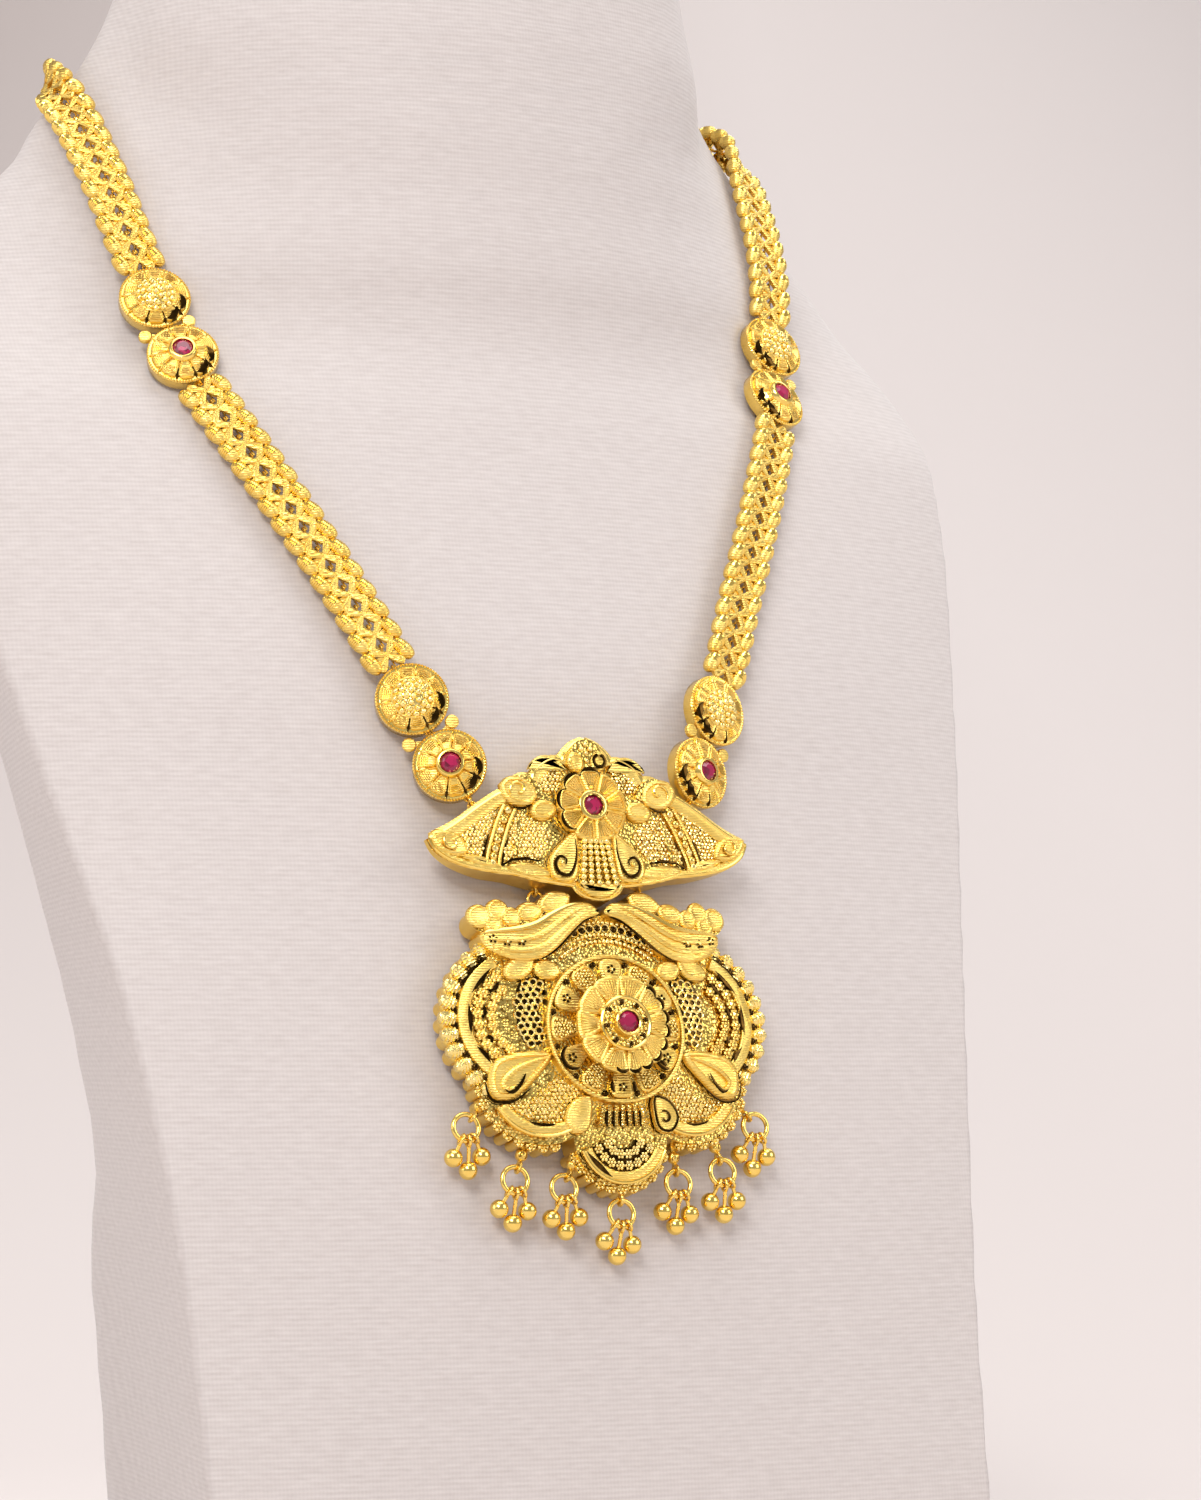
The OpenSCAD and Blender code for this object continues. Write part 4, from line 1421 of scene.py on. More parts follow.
@dataclass
class UpperPlaque:
    """The winged plaque: a flower over two paisleys between granulated wings."""

    plane: LeaningPlane
    middle_h: float = 3.0
    tip_h: float = 1.4
    half_w: float = 32.5
    heart_v: float = 31
    flower: Point = (0, 35.5)
    petals: int = 9
    # Petals whose ends are painted dark as shade, on the top and left.
    dark_petals: tuple[int, ...] = (2, 3, 4, 5)
    lobe: Point = (8.0, 41.3)
    studs: int = 7
    top_runs: tuple[Run, ...] = (
        ((0, 48.9), (2.3, 47.9), (4.2, 46.0), (4.9, 44.6)),
        ((4.9, 44.6), (6.9, 44.9), (9.2, 43.8), (10.8, 42.2), (11.3, 40.9)),
        ((11.3, 40.9), (13.5, 41.2), (15.4, 40.2), (16.5, 38.4)),
        ((16.5, 38.4), (18.5, 37.7), (22.7, 35.1), (26.5, 32.4), (29.5, 30.6), (32.5, 29.2)))
    low_runs: tuple[Run, ...] = (
        ((32.5, 29.2), (31.3, 27.0), (28.8, 25.2), (25.5, 24.0), (21, 23.1), (16.3, 22.5), (12, 21.4),
         (4.8, 20.3)),
        ((4.8, 20.3), (4.0, 19.0), (2.2, 18.0), (0, 17.7)))
    panel: Run = ((8.6, 30.8), (10.0, 27), (12.4, 24.9), (18, 25.0), (23.5, 26.2), (27.0, 28.0), (23.6, 32),
                  (19.5, 35.0), (15.4, 35.2), (11.6, 32.9))
    rib: Run = ((16.0, 35.4), (17.6, 32.4), (19.0, 29.0), (20.0, 26.2), (20.4, 24.2))
    paisley: Run = ((3.6, 30.8), (6.8, 28.6), (9.5, 25.4), (9.3, 22.2), (6.9, 20.9), (4.3, 21.9), (3.6, 25.6))
    hook: Run = ((4.2, 29.4), (4.1, 26.8), (4.7, 24.2), (6.0, 22.3), (7.9, 22.7), (8.5, 24.4), (7.5, 25.8),
                 (6.3, 25.2), (6.5, 24.2))
    leaves: tuple[Leaf, ...] = (
        Leaf((2.3, 44.0), 70, 4.4, 3.4, 0.75, 0.5, 0.6, 2, steps=8),
        Leaf((14.2, 38.2), 18, 7.8, 5.8, 0.7, 0.65, 0.8, hollow=0.25),
        Leaf((9.6, 34.7), -10, 5.6, 4.0, 0.7, 0.65, 0.8, hollow=0.25),
        Leaf((13.2, 23.3), 8, 9.6, 3.0, 0.3, 0.5, 0.6, 2, 0.1, 8, 0.7),
        Leaf((22.4, 25.0), 16, 8.4, 2.0, 0.3, 0.5, 0.6, 2, 0.1, 8, 0.7),
        Leaf((28.4, 28.5), 28, 8.0, 4.6, 0.35, 0.6, 0.8, swell=0.6))

    def dome(self, u: float, v: float) -> float:
        """Gives the height of the bowed face under a point.

        Args:
            u: how far across the point is.
            v: how far up it is.

        Returns:
            The height.
        """
        drop = self.middle_h - self.tip_h
        r = (self.half_w ** 2 + drop * drop) / (2 * drop)
        return self.middle_h - r + math.sqrt(max(0.0, r * r - u * u))

    def build(self) -> None:
        """Dresses the plaque."""
        dress_node("upper_plaque", Finish.BODY)
        dress_node("plaque_ruby", Finish.STONE)
        work = Workpiece("plaque_relief", *CHASING, lift=self.dome)
        for leaf in self.leaves:
            leaf.lay(work)
        self._edges(work)
        self._flower(work)
        self._crown(work)
        self._wings(work)
        self._paisleys(work)
        work.finished(self.plane.place)

    def _edges(self, work: Workpiece) -> None:
        """Runs a wide satin border with a bright crest over the top, and a narrow one below.

        Args:
            work: the mesh in the making.
        """
        top = ((0.95, 0.93, 1.5, 0.15, 8, 0.4, Finish.SATIN),
               (0.985, 0.97, 0.42, 0.45, 6, 1.0, Finish.POLISHED))
        low = ((0.97, 0.94, 0.75, 0.25, 8, 0.5, Finish.SATIN),
               (0.985, 0.975, 0.3, 0.4, 6, 1.0, Finish.POLISHED))
        for run, wires in [(run, top) for run in self.top_runs] + [(run, low) for run in self.low_runs]:
            for across, up, radius, height, sides, squash, finish in wires:
                path = [(x * across, (y - self.heart_v) * up + self.heart_v) for x, y in open_curve(run, 4)]
                work.pair(Shape.rod(path, radius, height, sides, squash=squash), finish)

    def _flower(self, work: Workpiece) -> None:
        """Opens wide hatched petals round the stone's collar over a dark disc of painted shade, some with ends
        painted dark as shade.

        Args:
            work: the mesh in the making.
        """
        f = self.flower
        # A dark disc painted as the shade between the petals.
        work.add(Shape.plate(disc(f, 5.2, 36), 1.3, 0.1, 0.4, 1, 0, 1.2), Finish.CUT)
        for i in range(self.petals):
            turn = 360 / self.petals * i + 10
            outline = petal(f, turn, 2.3, 6.9, 4.45, 4)
            work.add(Shape.plate(outline, 1.45, 0.45, 0.55, 2, 0.38, 1.3), Finish.SATIN)
            work.hatching(f, turn, 3.2, 6.2, 0.1, 5, 1.78)
            # Ends painted dark as shade on the top and left petals.
            if i in self.dark_petals:
                end = arc(polar(f, 4.85, turn), 2.15, turn - 70, turn + 70, 10)
                work.dark_line(end, 0.8, 1.78, both=False)
        collar = [(2.9, 1.6), (2.8, 1.95), (2.45, 2.15), (2.1, 2.1), (1.98, 1.9), (1.98, 1.2)]
        work.add(Shape.turned(collar, 28), Finish.POLISHED, moved(*f))

    def _crown(self, work: Workpiece) -> None:
        """Sets the peaked motif, the granulated lobes and the curls by the flower, with painted shade on one
        curl.

        Args:
            work: the mesh in the making.
        """
        # The right-hand curl of the motif is painted dark as shade; the left one stays bright.
        work.dark_line(arc((2.4, 44.2), 1.15, 100, 430, 14), 0.75, 1.3, both=False, taper=False)
        work.add(Shape.rod(arc((-2.4, 44.0), 1.2, 60, 250, 10), 0.2, 1.25, 5, taper=True), Finish.POLISHED)
        peak = [(0, 47.4), (-0.9, 46.5), (0.9, 46.5), (0, 45.7), (0, 44.2), (0, 42.9)]
        work.grains(peak, 0.62, Finish.GLINT, 0.9)
        work.field(disc(self.lobe, 3.3), height=0.3)
        work.pair(Shape.plate(crescent(self.lobe, 4.0, 1.0, 15, 165), 0.5, 0.3, 0.3), Finish.SATIN)
        # A dark line painted as shade under each lobe's crescent.
        work.dark_line(arc(self.lobe, 3.25, 70, 120, 8), 0.35, 0.6)
        work.pair(Shape.rod(curl((14.2, 38.4), 1.9, 330, 330), 0.3, 1.25, taper=True), Finish.POLISHED)
        work.dark_line(((11.9, 35.6), (13.6, 34.9), (15.6, 35.0)), 0.55, 0.95)

    def _wings(self, work: Workpiece) -> None:
        """Fills the wings with grains beside a studded rib, with a curl at the tips.

        Args:
            work: the mesh in the making.
        """
        rib = open_curve(self.rib, 4)
        strip = [(x - 1.9, y - 0.4) for x, y in rib] + [(x + 1.9, y + 0.4) for x, y in rib[::-1]]
        work.field(closed_curve(self.panel, 3), free=[strip])
        for shift in (-1.15, 1.15):
            work.pair(Shape.rod([(x + shift, y + shift * 0.2) for x, y in rib], 0.34, 0.45), Finish.SATIN)
            # Dark lines painted as shade along the lower part of the rib.
            work.dark_line([(x + shift * 1.6, y + shift * 0.3) for x, y in rib[7:]], 0.55, 0.3)
        stud = Shape.bead(0.78, 2, 0.7)
        for i in range(self.studs):
            at = smooth_at(rib, (i + 0.6) * (len(rib) - 1) / (self.studs + 0.2))
            work.pair(stud, Finish.POLISHED if i % 2 else Finish.GLINT, moved(*at, 0.35))
        # A dark line painted as shade along the upper edge of the long leaf.
        work.dark_line(((11.0, 25.0), (13.6, 25.5), (16.6, 25.3), (18.4, 24.3)), 0.6, 0.5)
        work.pair(Shape.rod(curl((28.0, 28.5), 1.7, 60, -330), 0.28, 1.0, taper=True), Finish.POLISHED)

    def _paisleys(self, work: Workpiece) -> None:
        """Sets the two paisleys with curls painted dark as shade, and the studded column between them.

        Args:
            work: the mesh in the making.
        """
        outline = anticlockwise(closed_curve(self.paisley, 3))
        work.pair(Shape.plate(outline, 1.0, 0.5, 0.6, 2, 0.2), Finish.SATIN)
        # The paisleys' curls are painted dark as shade.
        work.dark_line(open_curve(self.hook, 3), 0.7, 1.46)
        work.pair(Shape.bead(0.5), Finish.POLISHED, moved(7.2, 24.5, 1.45))
        stud = Shape.bead(0.72)
        for row in range(8):
            for x in (-1, -0.5, 0, 0.5, 1):
                work.add(stud, Finish.GLINT, moved(x * (3.3 - 0.16 * row), 20.9 + 1.13 * row, 1.15))
        work.add(Shape.plate(crescent((0, 22.6), 4.6, 1.7, 200, 340), 0.9, 0.4, 0.4), Finish.SATIN)
        # A dark arc painted as shade on one side of the crescent.
        work.dark_line(arc((0, 22.6), 3.4, 295, 330, 6), 0.45, 1.2, both=False)


@dataclass
class LowerPendant:
    """The domed pendant: a raised flower on a ring plate, wings, side lobes and a fan."""

    plane: LeaningPlane
    dome_h: float = 4.1
    dome_reach: float = 32
    flower: Point = (0, -6.5)
    petals: int = 10
    petal_h: float = 8.2
    # Petals with dark arcs painted as shade, on the right and lower side.
    dark_petals: tuple[int, ...] = (0, 1, 7, 8, 9)
    side: Point = (16.5, -4.3)
    side_r: float = 14.2
    lobe: Point = (14.5, -15.5)
    lobe_r: float = 11.6
    fan: Point = (0, -25.6)
    fan_r: float = 9.3
    arch: Point = (0, -4)
    ring_r: float = 13.8
    ring_petals: int = 12
    # Dark arcs painted as shade on chosen ring petals, mostly the lower ones: the petal, the arc's start and
    # end in degrees, and its radius.
    cuts: tuple[tuple[int, float, float, float], ...] = (
        (7, -92, 85, 2.2), (9, 60, 112, 2.25), (9, -112, -60, 2.25), (11, -125, -55, 2.2),
        (11, -125, -65, 1.5), (1, 100, 150, 2.1))
    wing: Run = ((0.6, 15.6), (2.5, 17.2), (6, 17.2), (9.8, 15.8), (13.3, 13.9), (17, 12.9), (21, 12.5),
                 (23.3, 12), (23.8, 10.5), (22.5, 8.6), (19.8, 7.1), (16.6, 6.4), (13.2, 6.8), (10.2, 8.6),
                 (7.2, 11.3), (4, 14.0), (1.5, 15.0))
    swirl: Run = ((13.3, -11.3), (18.5, -10.8), (23.3, -12), (24.8, -15), (24, -18.3), (20.8, -18.6),
                  (17.3, -16))
    low_field: Run = ((7.5, -18.4), (11.2, -15.6), (13.4, -16.2), (17.5, -19.2), (22.0, -19.6), (19.2, -21.8),
                      (14.0, -23.6), (10.8, -22.6), (10.6, -20.4))
    net: Run = ((14.0, -8.6), (17.6, -8.6), (18.6, -3), (17.4, 2.4), (13.4, 3.0), (14.4, -3))
    paisley: Run = ((6.6, -19.2), (9.4, -20.0), (10.9, -22.6), (9.6, -24.9), (7.4, -24.6), (6.6, -22.4))
    top_leaves: tuple[Leaf, ...] = (
        Leaf((9.0, 17.5), -18, 7.0, 4.2, 1.6, 0.6, swell=0.55),
        Leaf((14.2, 15.6), -12, 5.8, 3.8, 1.6, 0.6, swell=0.55))
    side_leaves: tuple[Leaf, ...] = (
        Leaf((17.4, 5.0), -24, 6.8, 4.2, 0.7, 0.6, hollow=0.15),
        Leaf((12.2, 4.6), 12, 5.6, 3.8, 0.7, 0.6, hollow=0.15))

    def dome(self, u: float, v: float) -> float:
        """Gives the height of the domed face under a point.

        Args:
            u: how far across the point is.
            v: how far up it is.

        Returns:
            The height.
        """
        r = (self.dome_reach ** 2 + self.dome_h ** 2) / (2 * self.dome_h)
        away = (u - self.flower[0]) ** 2 + (v - self.flower[1]) ** 2
        return self.dome_h - r + math.sqrt(max(0.0, r * r - away))

    def build(self) -> None:
        """Dresses the pendant."""
        dress_node("lower_pendant", Finish.BODY)
        dress_node("pendant_ruby", Finish.STONE)
        for name, dress, ground in (("wings", self._wings, self.dome), ("sides", self._sides, self.dome),
                                    ("ring", self._ring, None), ("flower", self._flower, None),
                                    ("fan", self._fan, self.dome)):
            work = Workpiece(f"pendant_{name}", *CHASING, lift=ground)
            dress(work)
            work.finished(self.plane.place)

    def _wings(self, work: Workpiece) -> None:
        """Lays the smooth flowing wings, with leaves and satin discs above them.

        Args:
            work: the mesh in the making.
        """
        outline = anticlockwise(closed_curve(self.wing, 3))
        work.pair(Shape.plate(grown(outline, 0.15), 1.6, 0.55, 0.9, 3, 0, 1.6), Finish.SATIN)
        edges = open_curve(self.wing[1:9], 4), open_curve(self.wing[:7:-1], 4)
        for share, finish in ((0.1, Finish.POLISHED), (0.42, Finish.SATIN), (0.74, Finish.SATIN)):
            path = []
            for k in range(1, 16):
                a, b = (smooth_at(edge, k * (len(edge) - 1) / 16) for edge in edges)
                path.append((a[0] + (b[0] - a[0]) * share, a[1] + (b[1] - a[1]) * share))
            work.pair(Shape.rod(path, 0.5, 2.1, taper=True, squash=0.8), finish)
        # A dark line painted as shade under the wing's lower edge.
        work.dark_line([(x, y - 0.35) for x, y in open_curve(self.wing[:11:-1], 3)], 0.7, 1.35)
        for at in ((21.9, 10.4), (19.4, 9.7), (16.7, 9.7)):
            for k in range(5):
                # Star punches: dots painted dark as their shade round a bright grain.
                work.pair(Shape.bead(0.3, 1, 0.5), Finish.CUT, moved(*polar(at, 0.62, 72 * k + 30), 2.22))
            work.pair(Shape.bead(0.34), Finish.GLINT, moved(*at, 2.3))
        for leaf in self.top_leaves:
            leaf.lay(work)
        for at, r in (((17.8, 14.6), 1.9), ((20.2, 16.0), 2.1), ((21.3, 13.4), 1.9), ((23.7, 14.9), 2.3)):
            work.pair(Shape.plate(disc(at, r), 1.7 + 0.12 * r, 0.45, 0.6, 3, 0.2), Finish.SATIN)

    def _coils(self, work: Workpiece) -> None:
        """Sets the ribbed coil beads along the side lobes' edges, with dark dots painted as the shade between
        them.

        Args:
            work: the mesh in the making.
        """
        coil = [(0.06, -1.8), (0.8, -1.65)]
        for i in range(11):
            t = -1.35 + 0.27 * i
            coil.append((math.sqrt(max(0.3, 3.0 - t * t)) + (0.1 if i % 2 else -0.1), t))
        bead = Shape.turned(coil + [(0.8, 1.65), (0.06, 1.8)], 14)
        gap = Shape.bead(0.62, 2, 0.4)
        for i in range(11):
            a = 62 - 11.9 * i
            place = moved(*polar(self.side, self.side_r + 0.3, a), 0.25) @ spun(a + 14) @ spun(90, "Y")
            work.pair(bead, Finish.GLINT, place @ scaled(1, 0.92, 1.05), draped=False)
            # Dark dots painted as shade in the gaps between the beads.
            work.pair(gap, Finish.CUT, moved(*polar(self.side, self.side_r - 0.7, a - 6), 0.6))

    def _sides(self, work: Workpiece) -> None:
        """Dresses the side lobes: coils, bands, clusters, leaves and crescents.

        Args:
            work: the mesh in the making.
        """
        self._coils(work)
        work.pair(Shape.plate(sector(self.side, 13.0, 10.8, -62, 64, 22), 0.75, 0.2, 0.25), Finish.SATIN)
        # Crescents painted dark as the shade of the chasing.
        for radius, thick, steps, foot, spans in (
                (11.2, 0.75, 8, 0.98, ((26, 58), (-14, 16), (-46, -26))), (13.2, 0.5, 8, 0.9, ((30, 62),)),
                (8.35, 0.6, 6, 0.8, ((36, 56), (2, 18), (-32, -20)))):
            for start, end in spans:
                outline = crescent(self.side, radius, thick, start, end, steps)
                work.pair(Shape.plate(outline, foot, 0.02, 0.1, 1), Finish.CUT)
        for reach, count, start, step, radius in ((9.4, 10, 56, 12.2, 1.15), (6.9, 8, 50, 15, 1.05)):
            for i in range(count):
                self._blossom(work, polar(self.side, reach, start - step * i), radius, 0.5)
        self._leaves(work)
        band = sector(self.lobe, 10.3, 8.2, -115, -28, 16)
        work.pair(Shape.plate(band, 0.6, 0.45, 0.6), Finish.SATIN)
        work.pair(Shape.rod(arc(self.lobe, 10.2, -115, -28), 0.3, 0.95), Finish.POLISHED)
        # A dark line painted as shade along the band's inner edge.
        work.dark_line(arc(self.lobe, 8.3, -100, -66, 8), 0.6, 0.95)
        work.field(closed_curve(self.low_field, 3), pitch=0.78, height=0.16)
        for i in range(9):
            self._rosette(work, polar(self.lobe, self.lobe_r + 0.2, -8 - 11.5 * i), 0.55, both=True)

    def _leaves(self, work: Workpiece) -> None:
        """Sets the swirl leaf of each side, and the round leaves under the wing, with dark lines painted as
        shade beside them.

        Args:
            work: the mesh in the making.
        """
        swirl = anticlockwise(closed_curve(self.swirl, 3))
        work.pair(Shape.plate(grown(swirl, 0.3), 0.95, 0.7, 0.9, 3, 0.3), Finish.SATIN)
        fold = open_curve(((13.6, -11.6), (17.4, -12.6), (20.6, -14.0), (22.6, -16.0), (21.6, -17.4),
                           (20.2, -16.6)), 4)
        work.pair(Shape.rod(fold, 0.45, 1.45, taper=True), Finish.SATIN)
        # A dark line painted as shade in the swirl's fold.
        work.dark_line(open_curve(((18.4, -14.6), (19.4, -16.4), (21.0, -17.9), (22.4, -17.2)), 4), 0.7, 1.62)
        # A dark line painted as shade under the swirl's lower edge.
        work.dark_line(open_curve(((17.4, -17.2), (20.8, -19.4), (24.6, -18.9), (25.6, -15.6)), 4), 0.6, 0.95)
        for leaf in self.side_leaves:
            leaf.lay(work)
        # Dark lines painted as shade under the wing's edge and between the two leaves.
        work.dark_line(((13.4, 6.5), (15.0, 7.0), (16.4, 6.7)), 0.9, 0.9)
        work.dark_line(((15.0, 6.7), (15.1, 5.6), (14.8, 4.6)), 0.7, 0.95)

    def _star(self, work: Workpiece, at: Point, height: float, reach: float) -> None:
        """Punches a small star: dots painted dark as their shade round a bright one.

        Args:
            work: the mesh in the making.
            at: the star's middle.
            height: the dark dots' height.
            reach: how far out they sit.
        """
        for k in range(5):
            dot = moved(*polar(at, reach, 72 * k), height)
            # A punched dot painted dark as its shade.
            work.add(Shape.bead(0.3, 1, 0.4), Finish.CUT, dot)
        work.add(Shape.bead(0.3, 1, 0.5), Finish.GLINT, moved(*at, height + 0.05))

    def _blossom(self, work: Workpiece, at: Point, radius: float, height: float) -> None:
        """Sets a small domed flower bead on both halves.

        Args:
            work: the mesh in the making.
            at: the flower's middle.
            radius: the flower's radius.
            height: its height over the ground.
        """
        work.pair(Shape.bead(radius * 0.5), Finish.POLISHED, moved(*at, height + 0.25))
        leaf = Shape.bead(radius * 0.4)
        for i in range(6):
            work.pair(leaf, Finish.SATIN, moved(*polar(at, radius * 0.62, 60 * i), height + 0.05))

    def _rosette(self, work: Workpiece, at: Point, height: float, both: bool) -> None:
        """Sets a flower of seven grains on the edge, over a dark disc painted as the shade between them.

        Args:
            work: the mesh in the making.
            at: the flower's middle.
            height: its height.
            both: whether the other half gets it too.
        """
        put = work.pair if both else work.add
        # A dark disc painted as the shade between the grains.
        put(Shape.bead(1.0, 1, 0.4), Finish.CUT, moved(*at, height - 0.1), draped=False)
        spots = [at] + [polar(at, 0.74, 60 * i) for i in range(6)]
        work.grains(spots, 0.43, Finish.GLINT, height + 0.25, draped=False, both=both)

    def _ring(self, work: Workpiece) -> None:
        """Dresses the ring plate round the flower: a thin rim and two kinds of petals in turn, with shade
        painted dark between and on them.

        Args:
            work: the mesh in the making.
        """
        f = self.flower
        step = 360 / self.ring_petals
        work.add(Shape.ring(self.ring_r - 0.4, 0.42, 72, 8), Finish.SATIN, moved(*f, 4.75))
        spot = Shape.bead(0.55, 2, 0.4)
        for i in range(self.ring_petals):
            turn = step * i
            outline = petal(f, turn, 6.6, 12.85, 4.5, 4)
            if i % 2:
                work.add(Shape.plate(outline, 5.0, 0.35, 0.6, 3, 0.1), Finish.SATIN)
                self._star(work, polar(f, 10.9, turn), 5.36, 0.62)
            else:
                work.add(Shape.plate(outline, 4.8, 0.3, 0.4, 2, 0.3), Finish.SATIN)
                grains = scattered(grown(outline, -0.5), 0.62)
                work.grains(grains, 0.34, Finish.GLINT, 5.0)
            # A dark dot painted as shade in the gap between petals.
            work.add(spot, Finish.CUT, moved(*polar(f, 12.3, turn + step / 2), 4.5))
        # Dark arcs painted as shade on chosen petals.
        for i, start, end, reach in self.cuts:
            path = arc(polar(f, 10.75, step * i), reach, step * i + start, step * i + end, 10)
            work.dark_line(path, 1.0, 5.52, both=False)

    def _flower(self, work: Workpiece) -> None:
        """Opens the scalloped petals round the stone's pierced seat, with dark arcs and pits painted as shade.

        Args:
            work: the mesh in the making.
        """
        f, h = self.flower, self.petal_h
        dish = [(8.7, h - 0.5), (8.5, h + 0.05), (7.0, h - 0.25), (5.2, h - 0.6), (4.2, h - 0.7)]
        work.add(Shape.turned(dish, 40), Finish.SATIN, moved(*f))
        for i in range(self.petals):
            turn = 360 / self.petals * i
            outline = petal(f, turn, 4.3, 9.1, 5.5, 4)
            work.add(Shape.plate(outline, h - 0.05, 0.28, 0.5, 2, 0.2, 0.8), Finish.SATIN)
            work.hatching(f, turn, 5.3, 8.5, 0.12, 4, h + 0.06)
            # Dark arcs painted as shade on the right and lower petals.
            if i in self.dark_petals:
                for lean in ((-9, 9) if i != 7 else (9,)):
                    middle = turn + lean
                    path = arc(polar(f, 7.55, middle), 1.35, middle - 62, middle + 62, 8)
                    work.dark_line(path, 0.8, h + 0.3, both=False)
        for count, reach, radius, height in ((24, 3.9, 0.42, 9.1), (16, 3.1, 0.33, 9.2)):
            grains = [polar(f, reach, 360 / count * i) for i in range(count)]
            work.grains(grains, radius, Finish.GLINT, height)
        # Dark pits painted as shade among the seat's grains.
        pit_shade = Shape.bead(0.5, 2, 0.4)
        for i in range(8):
            work.add(pit_shade, Finish.CUT, moved(*polar(f, 3.9, 45 * i + 8), 9.4))
        work.add(Shape.ring(4.75, 0.34, 40), Finish.POLISHED, moved(*f, 9.05))
        work.add(Shape.ring(2.3, 0.28, 28), Finish.POLISHED, moved(*f, 10.3))

    def _fan(self, work: Workpiece) -> None:
        """Dresses the fan under the ring plate, with its bars, clusters, border and paisleys, its shade
        painted dark.

        Args:
            work: the mesh in the making.
        """
        grain = Shape.bead(0.5, 1, 0.8)
        for i in range(-3, 4):
            for k in range(7):
                at = moved((1.3 + 0.03 * k) * i, -20.7 - 0.55 * k, 1.05)
                work.add(grain, Finish.GLINT, at @ scaled(1.0, 0.5, 1))
            if i < 3:
                # Dark bars painted as shade between the rows of grains.
                bar = (1.3 * i + 0.65, -21.6), (1.36 * i + 0.68, -24.4)
                work.dark_line(bar, 0.62, 1.25, both=False)
        # A dark floor painted as shade under the clusters.
        floor = sector(self.fan, 6.6, 2.6, -160, -20, 20, 10)
        work.add(Shape.plate(floor, 0.62, 0.02, 0.1, 1), Finish.CUT)
        for count, reach, start, step in ((8, 5.7, -152, 17.7), (6, 3.7, -150, 24)):
            for i in range(count):
                at = polar(self.fan, reach, start + step * i)
                work.grains([at] + [polar(at, 0.6, 60 * k) for k in range(6)], 0.37, Finish.GLINT, 1.0)
        border = sector(self.fan, 8.8, 6.7, -160, -20, 26)
        work.add(Shape.plate(border, 0.95, 0.4, 0.6), Finish.SATIN)
        work.add(Shape.rod(arc(self.fan, 8.7, -160, -20, 26), 0.28, 1.3), Finish.POLISHED)
        # Dark crescents painted as shade on the lower left of the border.
        for radius, thick, end, steps, foot in ((8.1, 1.0, -108, 10, 1.38), (8.9, 0.5, -118, 8, 1.3)):
            outline = crescent(self.fan, radius, thick, -158, end, steps)
            work.add(Shape.plate(outline, foot, 0.04, 0.1, 1), Finish.CUT)
        outline = anticlockwise(closed_curve(self.paisley, 3))
        work.pair(Shape.plate(grown(outline, 0.5), 0.95, 0.5, 0.6, 2, 0.15), Finish.SATIN)
        edge = grown(outline, 0.1)
        # A dark outline and curl painted as shade on the right-hand paisley only.
        work.dark_line(edge + edge[:1], 0.6, 1.4, both=False, taper=False)
        work.dark_line(curl((8.4, -22.8), 1.3, 140, -340), 0.5, 1.5, both=False)
        for i in range(11):
            self._rosette(work, polar(self.fan, self.fan_r + 0.2, -157 + 13.4 * i), 0.55, both=False)
        self._arch(work)

    def _arch(self, work: Workpiece) -> None:
        """Fills the arch over the flower with grains and small holes painted dark as their shade, and the nets
        at its sides.

        Args:
            work: the mesh in the making.
        """
        for reach, count in ((14.2, 22), (15.5, 24), (17.9, 25), (19.2, 27)):
            spots = [p for p in arc(self.arch, reach, 52, 128, count) if p[1] < 15 - 0.02 * p[0] ** 2]
            work.grains(spots, 0.5, Finish.GLINT, 0.25)
        # The holes are dark beads painted as their shade.
        hole, rim = Shape.bead(0.55, 2, 0.35), Shape.ring(0.8, 0.16, 12, 4)
        for p in arc(self.arch, 16.7, 54, 126, 13):
            work.add(hole, Finish.CUT, moved(*p, 0.22))
            work.add(rim, Finish.GLINT, moved(*p, 0.3))
        net = closed_curve(self.net, 3)
        # A dark sheet painted as the shade seen through the net.
        work.pair(Shape.plate(net, 0.16, 0.02, 0.1, 1), Finish.CUT)
        mesh = Shape.ring(0.68, 0.2, 12, 4)
        for p in scattered(grown(anticlockwise(net), -0.2), 1.3):
            work.pair(mesh, Finish.GLINT, moved(*p, 0.32))


# Hardware and stones that stay as packed

@dataclass
class Hardware:
    """The rings, drops, clasp and stones, whose solids are right as they are."""

    drops: int = 7

    def build(self) -> None:
        """Gives them their finishes."""
        for name in ("clasp", *(f"drop_{i + 1}" for i in range(self.drops))):
            dress_node(name, Finish.POLISHED)
        for side in Side:
            for kind, finish in (("hinge_ring", Finish.POLISHED), ("hanger_ring", Finish.POLISHED),
                                 ("low_ruby", Finish.STONE), ("high_ruby", Finish.STONE)):
                dress_node(f"{kind}_{side.word}", finish)


# The room

@dataclass(frozen=True)
class Lamp:
    """A soft square light."""

    name: str
    at: tuple[float, float, float]
    size: float
    watts: float

    def hang(self, target: Sequence[float]) -> None:
        """Hangs the light, turned toward a point.

        Args:
            target: the point.
        """
        lamp = bpy.data.lights.new(self.name, "AREA")
        lamp.shape, lamp.size, lamp.energy = "SQUARE", self.size, self.watts
        made = linked(self.name, lamp)
        made.location = self.at
        made.rotation_euler = (Vector(target) - Vector(self.at)).to_track_quat("-Z", "Y").to_euler()


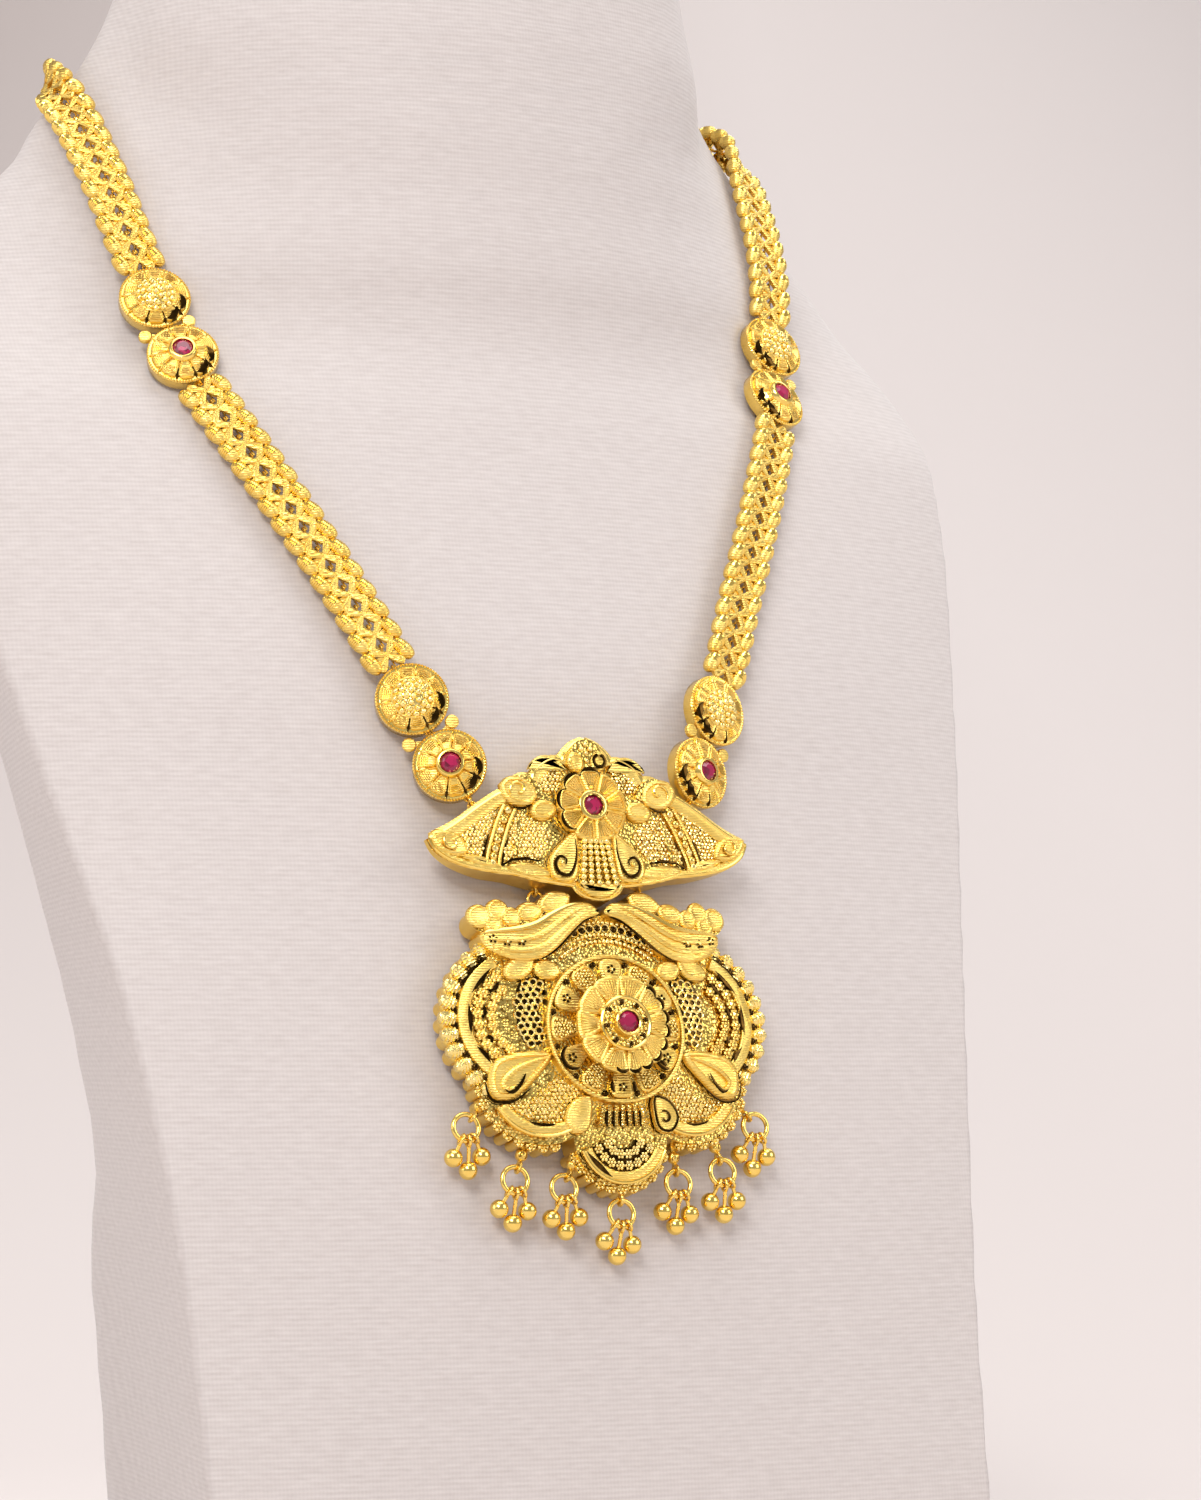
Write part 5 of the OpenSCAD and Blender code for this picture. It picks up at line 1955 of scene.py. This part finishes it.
@dataclass
class Studio:
    """The floor and wall in one sweep, the soft lights and the camera."""

    eye: tuple[float, float, float] = (-0.3448, -0.7832, 0.1181)
    ahead: tuple[float, float, float] = (0.429, 0.900, 0.0715)
    lens: float = 105.6
    sensor_h: float = 36
    target: tuple[float, float, float] = (0, -0.03, 0.18)
    lamps: tuple[Lamp, ...] = (
        Lamp("key", (-1.3, -1.5, 1.7), 1.0, 27), Lamp("fill", (1.5, -1.3, 1.0), 1.0, 12),
        Lamp("top", (0.1, -0.3, 2.0), 1.2, 16), Lamp("wall", (1.3, 0.9, 1.7), 1.0, 9),
        Lamp("spark", (-0.9, -1.6, 1.1), 0.16, 4), Lamp("side", (-1.6, 0.1, 0.7), 1.0, 6))
    room_light: Colour = (0.93, 0.95, 1.0, 1)
    room_strength: float = 0.45
    floor_front: float = -3.0
    bend_y: float = 0.5
    bend_r: float = 1.4
    wall_top: float = 4.0
    half_w: float = 4

    def build(self) -> None:
        """Sets up the room."""
        self._sweep()
        for lamp in self.lamps:
            lamp.hang(self.target)
        self._world()
        self._camera()

    def _sweep(self) -> None:
        """Makes the floor, which rises into the wall behind."""
        bm = bmesh.new()
        bend = [polar((self.bend_y, self.bend_r), self.bend_r, 90 * i / 16 - 90) for i in range(1, 17)]
        profile = [(self.floor_front, 0.0), (self.bend_y, 0.0), *bend,
                   (self.bend_y + self.bend_r, self.wall_top)]
        verts = [bm.verts.new((-self.half_w, y, z)) for y, z in profile]
        edges = [bm.edges.new(pair) for pair in zip(verts, verts[1:])]
        out = bmesh.ops.extrude_edge_only(bm, edges=edges)
        far = [g for g in out["geom"] if isinstance(g, bmesh.types.BMVert)]
        bmesh.ops.translate(bm, verts=far, vec=(2 * self.half_w, 0, 0))
        for face in bm.faces:
            face.smooth = True
        placed("backdrop", bm, [Finish.PAINT])

    def _world(self) -> None:
        """Fills the rest of the room with an even, dimmer light."""
        world = bpy.data.worlds.new("room")
        world.use_nodes = True
        back = next(n for n in world.node_tree.nodes if n.type == "BACKGROUND")
        back.inputs["Color"].default_value = self.room_light
        back.inputs["Strength"].default_value = self.room_strength
        bpy.context.scene.world = world

    def _camera(self) -> None:
        """Sets the camera at the photograph's angle."""
        view = bpy.data.cameras.new("camera")
        view.sensor_fit, view.sensor_height, view.lens = "VERTICAL", self.sensor_h, self.lens
        camera = linked("camera", view)
        camera.location = self.eye
        camera.rotation_euler = Vector(self.ahead).to_track_quat("-Z", "Y").to_euler()
        bpy.context.scene.camera = camera
        bpy.context.scene.view_settings.view_transform = "Standard"


def main() -> None:
    """Builds everything in order."""
    logging.basicConfig(level=logging.INFO, format="%(name)s: %(message)s")
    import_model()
    band = Band()
    plane = LeaningPlane()
    NeckBust().build()
    for side in Side:
        LinkBand("low_band", band, side, band.low_start, band.low_pitch, band.lower_links).build()
        LinkBand("high_band", band, side, band.high_start, band.high_pitch, band.high_links).build()
        for node, start, stone in (("low_ruby_disc", 0, True), ("low_grain_disc", band.span, False),
                                   ("high_ruby_disc", band.low_end, True),
                                   ("high_grain_disc", band.low_end + band.span, False)):
            RoundPlaque(node, band, side, start, stone).build()
    UpperPlaque(plane).build()
    LowerPendant(plane).build()
    Hardware().build()
    Studio().build()


if __name__ == "__main__":
    main()
